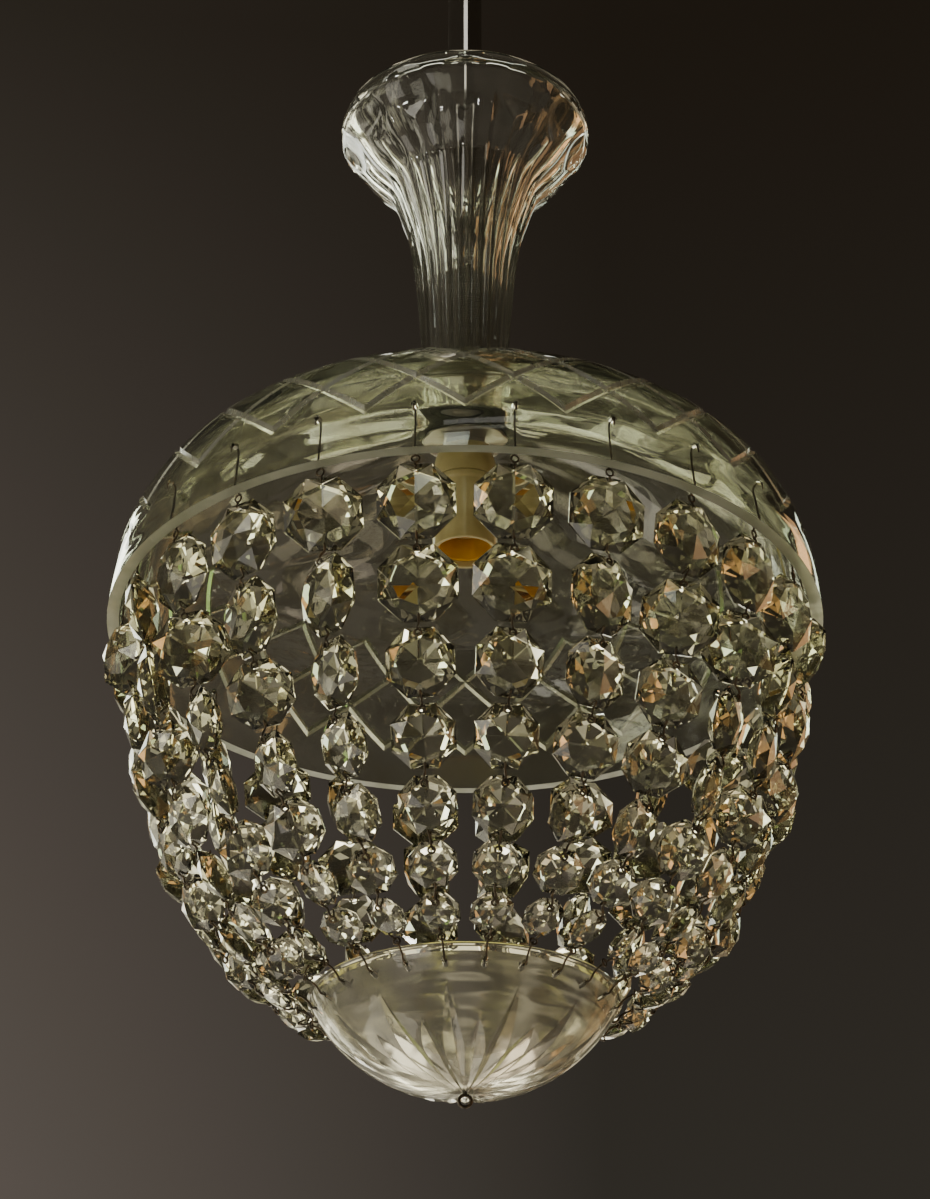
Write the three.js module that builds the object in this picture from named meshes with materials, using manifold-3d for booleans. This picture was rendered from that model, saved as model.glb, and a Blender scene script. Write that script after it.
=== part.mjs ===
// Cut-glass basket ceiling lamp.
// A nickel-plated rod hangs from a ceiling hook and carries a domed glass dish, a fluted glass
// vase that slips over the rod, a lampholder under the dish, and a basket of crystal strands
// that ends in a small star-cut bowl.
// Millimetres, +Z up. The origin is on the ceiling, on the lamp's axis, so all of the lamp is
// below Z = 0. Azimuth 0 is the side at -Y, and azimuths grow towards +X.

import * as THREE from 'three';
import Module from 'manifold-3d';
import { mergeVertices } from 'three/addons/utils/BufferGeometryUtils.js';

const wasm = await Module();
wasm.setup();

// Clearances
const SEAT_GAP = 0.3;
const SLIP_FIT = 0.3;
const CUT_MARGIN = 1;

// Ceiling plate with its screw-in hook
const PLATE_R = 30;
const PLATE_T = 4;
const PLATE_SCREW_HOLE_R = 2.6;
const PLATE_SCREW_SPACING = 42;
const BOSS_R = 7;
const BOSS_H = 7;
const HOOK_BAR_R = 3;
const HOOK_BEND_R = 9;
const HOOK_NECK = 6;
const HOOK_SHANK_IN_BOSS = 8;

// Loose ring between the hook and the eye of the rod
const RING_BAR_R = 2.25;
const RING_BEND_R = 11;

// Cast eye that screws on the top of the rod
const EYE_BAR_R = 2.5;
const EYE_BEND_R = 9;
const SOCKET_WALL = 2.4;
const SOCKET_CROWN = 4;
const SOCKET_DEPTH = 13;
const WIRE_PORT_R = 3;

// Rod, a plated tube
const ROD_R = 8;
const ROD_WALL = 1.5;
const ROD_LENGTH = 310;

// Canopy, a spun cup that hides the hook, and the collar that holds it up
const CANOPY_R = 52;
const CANOPY_H = 83;
const CANOPY_SHEET = 1.2;
const CANOPY_RIM_GAP = 5;
const CANOPY_NECK_R = 13;
const CANOPY_ROLL = 4;
const COLLAR_WALL = 5;
const COLLAR_H = 11;
const COLLAR_SCREW_R = 2;
const COLLAR_SCREW_HEAD_R = 5;
const COLLAR_SCREW_HEAD_T = 4;
const COLLAR_SCREW_HEAD_GAP = 1.5;

// Threaded nipple that clamps the dish to the foot of the rod
const NIPPLE_R = 5;
const NIPPLE_BORE_R = 3.25;
const NIPPLE_IN_ROD = 10;
const NIPPLE_IN_HOLDER = 9;
const FOOT_FLANGE_R = 13;
const FOOT_FLANGE_T = 3;
const FOOT_SLEEVE_WALL = 2.2;
const FOOT_SLEEVE_H = 9;
const FELT_T = 2;
const LOWER_FELT_R = 17;
const WASHER_R = 19;
const WASHER_T = 1.5;
const NUT_FLATS = 17;
const NUT_H = 5;

// Dish, a big glass bowl turned upside down
const DISH_R = 150;
const DISH_H = 108;
const DISH_WALL = 5;
const DISH_SEAT_R = 23;
const DISH_SHOULDER_R = 121.5;
const DISH_SHOULDER_H = 64.7;
const DISH_SHOULDER_SLOPE = 0.7;
const DISH_HOLE_R = 1.6;
const DISH_HOLE_H = 20.7;

// Vase, a fluted glass trumpet over the rod
const VASE_H = 165;
const VASE_LIP_R = 57.7;
const VASE_NECK_R = 19.6;
const VASE_FOOT_R = 22;
const VASE_BORE_R = 14.3;
const VASE_NECK_WALL = VASE_NECK_R - VASE_BORE_R;
const VASE_LIP_WALL = 3.2;
const VASE_FLUTES = 24;
const VASE_FLUTE_DEPTH = 1.5;
const THUMBPRINTS = 12;
const THUMBPRINT_DEPTH = 1.5;
const THUMBPRINT_H = 24;
const THUMBPRINT_MIDDLE = 0.9;
const FLARE_START = 0.6;
const LIP_START = 0.955;

// Lampholder
const HOLDER_R = 14;
const HOLDER_WALL = 1.7;
const HOLDER_TOP_FLAT = 3;
const HOLDER_CAP_H = 18;
const HOLDER_BODY_H = 34;
const HOLDER_LINER_WALL = 1.2;
const HOLDER_LINER_RECESS = 2.5;
const CORE_H = 9;
const CORE_BORE_R = 1.6;
const SHELL_R = 8.2;
const SHELL_WALL = 0.6;
const SHELL_H = 13;
const CONTACT_R = 2.6;
const CONTACT_H = 2.5;
const CONTACT_RIVET_R = 1.2;
const CONTACT_RIVET_L = 4;

// Strands of octagons, from the top of a strand to its foot, measured across the flats
const STRANDS = 24;
const BEAD_SIZES = [30, 30, 26, 24, 22, 18, 16];
const BEAD_THICKNESS = 0.44;
const BEAD_GAP = 2.35;
const WIRE_R = 0.5;
const BEAD_YAW = 42;
// How far each octagon of the nearest strands is turned, in degrees
const FRONT_TURNS = new Map([
  [22, [4, -11, 23, -16, 20, -12, 10]],
  [23, [20, -27, -28, -26, -20, 14, -15]],
  [0, [2, 5, -4, 6, -7, 8, -5]],
  [1, [-3, 4, 8, -6, 5, -8, 9]],
  [2, [-4, 18, 12, -10, 20, -14, 8]],
  [3, [-5, -37, -17, -25, 12, -20, 15]],
]);
const PIN_LIP = 2;
const PIN_INSET = 0.35;
const STRAND_TOP_DROP = 2.9;
const STRAND_TOP_INSET = 8;
const BOWL_SHARE = 0.36;
const FOOT_HOOK_LENGTH = 8.2;
const FOOT_HOOK_TURN = 3.1;
const HANGER_TAIL = 2.4;

// Bowl at the foot of the basket
const BOWL_R = 61.9;
const BOWL_DEPTH = 38;
const BOWL_WALL = 3.4;
const BOWL_HOLE_R = 1.6;
const BOWL_HOLE_DROP = 6;
const BOWL_RAYS = 24;
const RAY_DEPTH = 2.2;
const LONG_RAY = 0.88;
const SHORT_RAY = 0.7;
const POLE_HOLE_R = 1.5;
const POLE_WIRE_R = 0.7;
const POLE_LOOP_R = 2.4;

// Levels, from the ceiling down
const bossFoot = -(PLATE_T + BOSS_H);
const hookCentre = bossFoot - HOOK_NECK - HOOK_BEND_R;
const hookSeat = hookCentre - HOOK_BEND_R + HOOK_BAR_R;
const ringCentre = hookSeat + SEAT_GAP - RING_BEND_R + RING_BAR_R;
const ringSeat = ringCentre - RING_BEND_R + RING_BAR_R;
const eyeCentre = ringSeat + SEAT_GAP - EYE_BEND_R + EYE_BAR_R;
const socketTop = eyeCentre - EYE_BEND_R - EYE_BAR_R / 2;
const socketFoot = socketTop - SOCKET_CROWN - SOCKET_DEPTH;
const rodTop = socketTop - SOCKET_CROWN - SEAT_GAP;
const rodFoot = rodTop - ROD_LENGTH;
const canopyFoot = -CANOPY_RIM_GAP - CANOPY_H;
const footStep = rodFoot - SEAT_GAP;
const footBase = footStep - FOOT_FLANGE_T - FOOT_FLANGE_T / 2;
const dishTop = footBase - FELT_T;
const dishRim = dishTop - DISH_H;
const dishCeiling = dishTop - DISH_WALL;
const washerTop = dishCeiling - FELT_T;
const nutTop = washerTop - WASHER_T;
const nutFoot = nutTop - NUT_H;
const capTop = nutFoot;
const bodyTop = capTop - HOLDER_CAP_H - SEAT_GAP;
const bodyFoot = bodyTop - HOLDER_BODY_H;
const socketR = ROD_R + SLIP_FIT + SOCKET_WALL;
const rodBore = ROD_R - ROD_WALL;

// Materials, with the colours seen in the photograph
const material = (color, roughness, metalness, opacity = 1) =>
  new THREE.MeshStandardMaterial({ color, roughness, metalness, opacity, transparent: opacity < 1 });
const NICKEL = material(0x8f8b84, 0.15, 1);
const STEEL = material(0x6f6c66, 0.4, 1);
const BRASS = material(0xb08a3c, 0.3, 1);
const DARK_WIRE = material(0x2b2720, 0.5, 0.8);
const CLEAR_GLASS = material(0xd9ddd2, 0.05, 0, 0.35);
const GREEN_GLASS = material(0xc6d0b8, 0.05, 0, 0.35);
const CRYSTAL = material(0xcfc8ad, 0.03, 0, 0.5);
const IVORY = material(0xc9bd97, 0.45, 0);
const AMBER = material(0xa8641a, 0.4, 0);
const CERAMIC = material(0xd8d2c4, 0.6, 0);
const FELT = material(0x3b3a34, 0.95, 0);

const lamp = new THREE.Group();

function place(name, geometry, look) {
  const mesh = new THREE.Mesh(geometry, look);
  mesh.name = name;
  lamp.add(mesh);
}

// Joins and cuts of closed solids
function toSolid(geometry) {
  const plain = geometry.clone();
  plain.deleteAttribute('normal');
  plain.deleteAttribute('uv');
  const merged = mergeVertices(plain, 1e-4);
  const vertProperties = new Float32Array(merged.attributes.position.array);
  const triVerts = new Uint32Array(merged.index.array);
  return new wasm.Manifold(new wasm.Mesh({ numProp: 3, vertProperties, triVerts }));
}

function toGeometry(solid) {
  const { vertProperties, triVerts } = solid.getMesh();
  const geometry = new THREE.BufferGeometry();
  geometry.setAttribute('position', new THREE.BufferAttribute(vertProperties, 3));
  geometry.setIndex(new THREE.BufferAttribute(triVerts, 1));
  return geometry;
}

function joined(geometries) {
  const solids = geometries.map(toSolid);
  return toGeometry(solids.reduce((whole, next) => whole.add(next)));
}

function cut(geometry, tools) {
  return toGeometry(tools.map(toSolid).reduce((whole, tool) => whole.subtract(tool), toSolid(geometry)));
}

// A turned solid about Z. The outline is a closed run of [radius, height] pairs, or one that
// starts and ends on the axis.
function turned(outline, segments) {
  const points = outline.map(([r, z]) => new THREE.Vector2(r, z));
  const onAxis = outline[0][0] === 0 && outline[outline.length - 1][0] === 0;
  if (!onAxis) points.push(points[0].clone());
  const geometry = new THREE.LatheGeometry(points, segments);
  geometry.rotateX(Math.PI / 2);
  return geometry;
}

function tubeRing(inner, outer, low, high, segments = 16) {
  return turned([[inner, low], [outer, low], [outer, high], [inner, high]], segments);
}

function disc(radius, low, high, segments = 16) {
  return turned([[0, low], [radius, low], [radius, high], [0, high]], segments);
}

// A round bar along Y
function bar(radius, length, segments = 12) {
  return new THREE.CylinderGeometry(radius, radius, length, segments);
}

function circleSection(radius, sides) {
  const points = [];
  for (let i = 0; i < sides; i += 1) {
    const angle = 2 * Math.PI * i / sides;
    points.push(new THREE.Vector2(radius * Math.cos(angle), radius * Math.sin(angle)));
  }
  return new THREE.Shape(points);
}

function bentBar(points, radius, steps, sides = 8) {
  const path = new THREE.CatmullRomCurve3(points, false, 'centripetal');
  const options = { extrudePath: path, steps, bevelEnabled: false };
  return new THREE.ExtrudeGeometry(circleSection(radius, sides), options);
}

// The point at a radius, azimuth and height
function around(radius, azimuth, height) {
  return new THREE.Vector3(radius * Math.sin(azimuth), -radius * Math.cos(azimuth), height);
}

// A skin over rings of equal point counts, closed at both ends by a fan to the ring's middle
function skinned(rings) {
  const count = rings[0].length;
  const positions = [];
  const triangles = [];
  const middle = (ring) => ring.reduce((sum, p) => sum.add(p), new THREE.Vector3()).divideScalar(count);
  for (const ring of rings) ring.forEach((p) => positions.push(p.x, p.y, p.z));
  const last = rings.length - 1;
  const lowPole = rings.length * count;
  const highPole = lowPole + 1;
  positions.push(...middle(rings[0]), ...middle(rings[last]));
  for (let i = 0; i < count; i += 1) {
    const next = (i + 1) % count;
    triangles.push(lowPole, next, i);
    triangles.push(highPole, last * count + i, last * count + next);
    for (let level = 0; level < last; level += 1) {
      const a = level * count + i;
      const b = level * count + next;
      triangles.push(a, b, b + count, a, b + count, a + count);
    }
  }
  const geometry = new THREE.BufferGeometry();
  geometry.setAttribute('position', new THREE.Float32BufferAttribute(positions, 3));
  geometry.setIndex(triangles);
  return geometry;
}

// An outline moved inwards, at right angles to itself, by a wall
function offsetOutline(outline, wall) {
  return outline.map(([r, z], i) => {
    const [r0, z0] = outline[Math.max(i - 1, 0)];
    const [r1, z1] = outline[Math.min(i + 1, outline.length - 1)];
    const length = Math.hypot(r1 - r0, z1 - z0);
    return [r - wall * (z1 - z0) / length, z + wall * (r1 - r0) / length];
  });
}

function bezier(start, first, second, end, steps) {
  const curve = new THREE.CubicBezierCurve(
    new THREE.Vector2(...start), new THREE.Vector2(...first),
    new THREE.Vector2(...second), new THREE.Vector2(...end));
  return curve.getPoints(steps).map((p) => [p.x, p.y]);
}

// Radial drills, one at each azimuth, that cross a wall at a height
function radialDrills(radius, height, wallRadius, reach) {
  const drills = [];
  for (let k = 0; k < STRANDS; k += 1) {
    const drill = bar(radius, reach, 4);
    const middle = around(wallRadius, strandAzimuth(k), height);
    drill.rotateZ(strandAzimuth(k));
    drill.translate(middle.x, middle.y, middle.z);
    drills.push(drill);
  }
  return drills;
}

function strandAzimuth(k) {
  return (k - 0.5) * 2 * Math.PI / STRANDS;
}

// Ceiling plate: a disc with a boss for the hook and two holes for wood screws
function ceilingPlate() {
  const plate = turned([
    [0, bossFoot], [BOSS_R, bossFoot], [BOSS_R, -PLATE_T], [PLATE_R, -PLATE_T],
    [PLATE_R, 0], [0, 0],
  ], 20);
  const shankBore = bar(HOOK_BAR_R + SLIP_FIT, 2 * (HOOK_SHANK_IN_BOSS + SEAT_GAP), 8);
  shankBore.rotateX(Math.PI / 2);
  shankBore.translate(0, 0, bossFoot);
  const screwHoles = [-1, 1].map((side) => {
    const hole = bar(PLATE_SCREW_HOLE_R, 4 * PLATE_T, 8);
    hole.rotateX(Math.PI / 2);
    hole.translate(side * PLATE_SCREW_SPACING / 2, 0, 0);
    return hole;
  });
  return cut(plate, [shankBore, ...screwHoles]);
}

// Hook: a straight shank, an outward sweep and a round bend in the XZ plane
function ceilingHook() {
  const points = [
    new THREE.Vector3(0, 0, bossFoot + HOOK_SHANK_IN_BOSS),
    new THREE.Vector3(0, 0, bossFoot),
    new THREE.Vector3(0, 0, bossFoot - HOOK_NECK / 4),
    new THREE.Vector3(HOOK_BEND_R / 2, 0, bossFoot - HOOK_NECK),
  ];
  const bendSteps = 7;
  const bendStart = Math.PI / 6;
  const bendTurn = 1.24 * Math.PI;
  for (let i = 0; i <= bendSteps; i += 1) {
    const angle = bendStart - i / bendSteps * bendTurn;
    points.push(new THREE.Vector3(
      HOOK_BEND_R * Math.cos(angle), 0, hookCentre + HOOK_BEND_R * Math.sin(angle)));
  }
  return bentBar(points, HOOK_BAR_R, 14);
}

function ringInPlane(bendRadius, barRadius, centre, turn) {
  const ring = new THREE.TorusGeometry(bendRadius, barRadius, 6, 14);
  ring.rotateX(Math.PI / 2);
  ring.rotateZ(turn);
  ring.translate(0, 0, centre);
  return ring;
}

// Eye with its socket and the port where the wires leave
function rodEye() {
  const socket = turned([
    [0, socketTop], [socketR - SOCKET_CROWN, socketTop], [socketR, socketTop - SOCKET_CROWN],
    [socketR, socketFoot], [0, socketFoot],
  ].reverse(), 16);
  const bore = disc(ROD_R + SLIP_FIT, socketFoot - SOCKET_DEPTH, rodTop + SEAT_GAP, 16);
  const port = bar(WIRE_PORT_R, 2 * socketR, 6);
  port.translate(0, -socketR, rodTop - SOCKET_DEPTH / 2);
  const body = joined([socket, ringInPlane(EYE_BEND_R, EYE_BAR_R, eyeCentre, 0)]);
  return cut(body, [bore, port]);
}

// Rod with a wire port that faces the one in the eye
function rod() {
  const tube = tubeRing(rodBore, ROD_R, rodFoot, rodTop, 16);
  const port = bar(WIRE_PORT_R, 2 * ROD_R, 6);
  port.translate(0, -ROD_R, rodTop - SOCKET_DEPTH / 2);
  return cut(tube, [port]);
}

// Canopy: a bell that opens upwards, with a rolled edge
function canopy() {
  const top = -CANOPY_RIM_GAP;
  const bell = bezier(
    [CANOPY_NECK_R, canopyFoot], [CANOPY_R * 0.42, canopyFoot + CANOPY_H * 0.42],
    [CANOPY_R * 0.96, canopyFoot + CANOPY_H * 0.3], [CANOPY_R - CANOPY_SHEET, top - CANOPY_ROLL], 4);
  const outside = [...bell, [CANOPY_R, top - CANOPY_ROLL + CANOPY_SHEET], [CANOPY_R, top]];
  const inside = offsetOutline(bell, CANOPY_SHEET).slice(1).reverse();
  const hole = ROD_R + SLIP_FIT;
  return turned([
    [hole, canopyFoot], ...outside, [CANOPY_R - 2 * CANOPY_SHEET, top], ...inside,
    [hole, canopyFoot + CANOPY_SHEET],
  ], 18);
}

function collar() {
  const high = canopyFoot - SEAT_GAP;
  const ring = tubeRing(ROD_R + SLIP_FIT, ROD_R + SLIP_FIT + COLLAR_WALL, high - COLLAR_H, high);
  const tapping = bar(COLLAR_SCREW_R + SLIP_FIT, 4 * COLLAR_WALL, 6);
  tapping.rotateZ(Math.PI / 2);
  tapping.translate(ROD_R + 2 * COLLAR_WALL, 0, high - COLLAR_H / 2);
  return cut(ring, [tapping]);
}

// Clamp screw: a shank that presses on the rod and a round head to turn it by
function collarScrew() {
  const middle = canopyFoot - SEAT_GAP - COLLAR_H / 2;
  const tip = ROD_R + SEAT_GAP;
  const headFace = ROD_R + SLIP_FIT + COLLAR_WALL + COLLAR_SCREW_HEAD_GAP;
  const screw = turned([
    [0, tip], [COLLAR_SCREW_R, tip], [COLLAR_SCREW_R, headFace], [COLLAR_SCREW_HEAD_R, headFace],
    [COLLAR_SCREW_HEAD_R, headFace + COLLAR_SCREW_HEAD_T], [0, headFace + COLLAR_SCREW_HEAD_T],
  ], 10);
  screw.rotateY(Math.PI / 2);
  screw.translate(0, 0, middle);
  return screw;
}

// Foot nut: a sleeve on the rod with a flange that presses on the dish
function rodFootNut() {
  const sleeve = ROD_R + SLIP_FIT + FOOT_SLEEVE_WALL;
  return turned([
    [NIPPLE_R + SLIP_FIT, footBase], [FOOT_FLANGE_R, footBase],
    [FOOT_FLANGE_R, footBase + FOOT_FLANGE_T], [sleeve, footBase + 2 * FOOT_FLANGE_T],
    [sleeve, footStep + FOOT_SLEEVE_H], [ROD_R + SLIP_FIT, footStep + FOOT_SLEEVE_H],
    [ROD_R + SLIP_FIT, footStep], [NIPPLE_R + SLIP_FIT, footStep],
  ], 16);
}

function lockNut() {
  const blank = new THREE.CylinderGeometry(
    NUT_FLATS / 2 / Math.cos(Math.PI / 6), NUT_FLATS / 2 / Math.cos(Math.PI / 6), NUT_H, 6);
  blank.rotateX(Math.PI / 2);
  blank.translate(0, 0, nutFoot + NUT_H / 2);
  return cut(blank, [disc(NIPPLE_R + SLIP_FIT, nutFoot - NUT_H, nutTop + NUT_H, 12)]);
}

// Dish: an upright rim, a round shoulder and a gentle dome up to a flat seat for the vase
function dishOutline(wallSteps, domeSteps) {
  const shoulder = [DISH_SHOULDER_R, DISH_SHOULDER_H];
  const reach = DISH_R - DISH_SHOULDER_R;
  const lift = DISH_H - DISH_SHOULDER_H;
  const wall = bezier(
    [DISH_R, 0], [DISH_R, DISH_SHOULDER_H * 0.54],
    [DISH_SHOULDER_R + reach * 0.54, DISH_SHOULDER_H - reach * 0.54 * DISH_SHOULDER_SLOPE],
    shoulder, wallSteps);
  const run = DISH_SHOULDER_R - DISH_SEAT_R;
  const dome = bezier(
    shoulder, [DISH_SHOULDER_R - run / 3, DISH_SHOULDER_H + run / 3 * DISH_SHOULDER_SLOPE],
    [DISH_SEAT_R + run / 3, DISH_H - lift * 0.14], [DISH_SEAT_R, DISH_H], domeSteps);
  return [...wall, ...dome.slice(1)];
}

const dishOutside = dishOutline(4, 3);
const dishInside = offsetOutline(dishOutline(3, 2), DISH_WALL);
dishInside[0] = [DISH_R - DISH_WALL, 0];
dishInside[dishInside.length - 1] = [DISH_SEAT_R - 1, DISH_H - DISH_WALL];

// Radius of an outline that rises from its first point, on the flat of a dish facet
function facetRadius(outline, height) {
  const above = outline.findIndex(([, z]) => z > height);
  const [r0, z0] = outline[above - 1];
  const [r1, z1] = outline[above];
  return THREE.MathUtils.mapLinear(height, z0, z1, r0, r1) * Math.cos(Math.PI / (2 * STRANDS));
}

const dishHoleOut = facetRadius(dishOutside, DISH_HOLE_H);
const dishHoleIn = facetRadius(dishInside, DISH_HOLE_H);

function dish() {
  const bore = NIPPLE_R + 2 * SLIP_FIT;
  const outline = [
    ...dishOutside, [bore, DISH_H], [bore, DISH_H - DISH_WALL], ...dishInside.toReversed(),
  ].map(([r, z]) => [r, z + dishRim]);
  const middle = (dishHoleOut + dishHoleIn) / 2;
  const drills = radialDrills(DISH_HOLE_R, dishRim + DISH_HOLE_H, middle, 4 * DISH_WALL);
  const body = turned(outline, 2 * STRANDS);
  body.rotateZ(Math.PI / (2 * STRANDS));
  return cut(body, drills);
}

// Vase: the outer outline runs from the foot to the lip, as shares of the height with the
// radius there
const VASE_OUTLINE = [
  [0, VASE_FOOT_R], [0.05, VASE_FOOT_R], [0.2, VASE_NECK_R], [0.45, 22.3],
  [FLARE_START, 25.7], [0.7, 30.2], [0.775, 34.8], [0.835, 43.3], [0.895, 50.3],
  [LIP_START, VASE_LIP_R], [1, VASE_LIP_R - VASE_LIP_WALL / 3],
];

// Flutes fade in above the foot and fade out under the lip, where the thumbprints are
function vaseRadius(share, radius, azimuth) {
  const fadeIn = THREE.MathUtils.smoothstep(share, 0.06, 0.16);
  const fadeOut = 1 - THREE.MathUtils.smoothstep(share, 0.78, 0.9);
  const crest = Math.abs(Math.cos(VASE_FLUTES * azimuth / 2));
  const flute = VASE_FLUTE_DEPTH * fadeIn * fadeOut * (1 - crest);
  const across = Math.max(0, Math.cos(THUMBPRINTS * azimuth));
  const along = (share - THUMBPRINT_MIDDLE) * VASE_H / (THUMBPRINT_H / 2);
  const print = THUMBPRINT_DEPTH * Math.max(0, 1 - along * along) * across;
  return radius - flute - print;
}

function vase() {
  const segments = 2 * VASE_FLUTES;
  const rings = VASE_OUTLINE.map(([share, radius]) => {
    const ring = [];
    for (let i = 0; i < segments; i += 1) {
      const azimuth = 2 * Math.PI * i / segments;
      ring.push(around(vaseRadius(share, radius, azimuth), azimuth, dishTop + share * VASE_H));
    }
    return ring;
  });
  const flare = VASE_OUTLINE.filter(([share]) => share >= FLARE_START && share <= LIP_START);
  const inner = flare.map(([share, radius]) => {
    const grown = (share - FLARE_START) / (LIP_START - FLARE_START);
    const wall = THREE.MathUtils.lerp(VASE_NECK_WALL, VASE_LIP_WALL, grown);
    return [radius - wall, dishTop + share * VASE_H];
  });
  const hollow = turned([
    [0, dishTop - CUT_MARGIN], [VASE_BORE_R, dishTop - CUT_MARGIN],
    [VASE_BORE_R, dishTop + VASE_H / 2], ...inner,
    [VASE_LIP_R - VASE_LIP_WALL, dishTop + VASE_H + CUT_MARGIN],
    [0, dishTop + VASE_H + CUT_MARGIN],
  ], 16);
  return cut(skinned(rings), [hollow]);
}

// Lampholder: a domed cap on the nipple and a plain body with an open mouth
function holderCap() {
  const foot = capTop - HOLDER_CAP_H;
  const dome = bezier(
    [HOLDER_R, foot], [HOLDER_R, foot + HOLDER_CAP_H * 0.62],
    [HOLDER_R * 0.86, capTop], [NIPPLE_R + HOLDER_TOP_FLAT, capTop], 3);
  const hollow = offsetOutline(dome, HOLDER_WALL).slice(0, -1);
  hollow[0] = [HOLDER_R - HOLDER_WALL, foot];
  const bore = NIPPLE_R + SLIP_FIT;
  return turned([
    ...dome, [bore, capTop], [bore, capTop - 2 * HOLDER_WALL], ...hollow.reverse(),
  ], 16);
}

function holderBody() {
  const bead = 0.8;
  return turned([
    [HOLDER_R - HOLDER_WALL, bodyFoot], [HOLDER_R, bodyFoot], [HOLDER_R, bodyTop - 4],
    [HOLDER_R + bead, bodyTop - 3], [HOLDER_R + bead, bodyTop - 1], [HOLDER_R, bodyTop],
    [HOLDER_R - HOLDER_WALL, bodyTop],
  ], 16);
}

function holderLiner() {
  const outer = HOLDER_R - HOLDER_WALL - SEAT_GAP;
  return tubeRing(outer - HOLDER_LINER_WALL, outer, bodyFoot + HOLDER_LINER_RECESS, bodyTop);
}

// Core: a ceramic plug in the liner, cut away for the screw shell below it
function holderCore() {
  const outer = HOLDER_R - HOLDER_WALL - HOLDER_LINER_WALL - 2 * SEAT_GAP;
  return tubeRing(CORE_BORE_R, outer, bodyTop - CORE_H, bodyTop);
}

function screwShell() {
  const high = bodyTop - CORE_H - SEAT_GAP;
  return turned([
    [SHELL_R - SHELL_WALL, high - SHELL_H], [SHELL_R, high - SHELL_H], [SHELL_R, high],
    [CONTACT_R + CONTACT_RIVET_R, high], [CONTACT_R + CONTACT_RIVET_R, high - SHELL_WALL],
    [SHELL_R - SHELL_WALL, high - SHELL_WALL],
  ], 14);
}

function centreContact() {
  const high = bodyTop - CORE_H - SEAT_GAP;
  return turned([
    [0, high - CONTACT_H], [CONTACT_R * 0.5, high - CONTACT_H], [CONTACT_R, high - SHELL_WALL],
    [CONTACT_R, high], [CONTACT_RIVET_R, high], [CONTACT_RIVET_R, high + CONTACT_RIVET_L],
    [0, high + CONTACT_RIVET_L],
  ], 8);
}

// Chain curve: a strand hangs from the dish and pulls at the bowl, so its slope grows as the
// weight below it falls. The pull is found by halving, so that the strand ends at the bowl.
function hang(pull, startRadius) {
  const weights = BEAD_SIZES.map((size) => (size / BEAD_SIZES[0]) ** 3);
  let load = weights.reduce((sum, w) => sum + w, 0) + BOWL_SHARE;
  let r = startRadius;
  let z = -STRAND_TOP_DROP;
  const beads = [];
  BEAD_SIZES.forEach((size, i) => {
    const below = load - weights[i];
    const lean = Math.atan2(pull, (load + below) / 2);
    beads.push({ size, lean, r: r - size / 2 * Math.sin(lean), z: z - size / 2 * Math.cos(lean) });
    r -= size * Math.sin(lean);
    z -= size * Math.cos(lean);
    load = below;
    const linkLean = Math.atan2(pull, load);
    const link = i < BEAD_SIZES.length - 1 ? BEAD_GAP : FOOT_HOOK_LENGTH;
    r -= link * Math.sin(linkLean);
    z -= link * Math.cos(linkLean);
  });
  return { beads, end: [r, z] };
}

function solveChain(startRadius, endRadius) {
  let low = 0;
  let high = 4;
  for (let i = 0; i < 60; i += 1) {
    const pull = (low + high) / 2;
    if (hang(pull, startRadius).end[0] > endRadius) low = pull;
    else high = pull;
  }
  return hang((low + high) / 2, startRadius);
}

const strandTopR = DISH_R - STRAND_TOP_INSET;
const chain = solveChain(strandTopR, BOWL_R);
const bowlHoleZ = dishRim + chain.end[1] - FOOT_HOOK_TURN;
const bowlRim = bowlHoleZ + BOWL_HOLE_DROP;
const bowlSphere = (BOWL_R ** 2 + BOWL_DEPTH ** 2) / (2 * BOWL_DEPTH);
const bowlInnerSphere = bowlSphere - BOWL_WALL;
const bowlHoleRise = bowlSphere - BOWL_DEPTH + BOWL_HOLE_DROP;
const bowlHoleOut = Math.sqrt(bowlSphere ** 2 - bowlHoleRise ** 2);
const bowlHoleIn = Math.sqrt(bowlInnerSphere ** 2 - bowlHoleRise ** 2);

// Wire sections are three-cornered. The corner list is turned so that a link runs without twist.
function matchRing(ring, previous) {
  let best = ring;
  let least = Infinity;
  for (let shift = 0; shift < ring.length; shift += 1) {
    const turnedRing = ring.map((p, i) => ring[(i + shift) % ring.length]);
    const spread = turnedRing.reduce((sum, p, i) => sum + p.distanceToSquared(previous[i]), 0);
    if (spread < least) {
      least = spread;
      best = turnedRing;
    }
  }
  return best;
}

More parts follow.
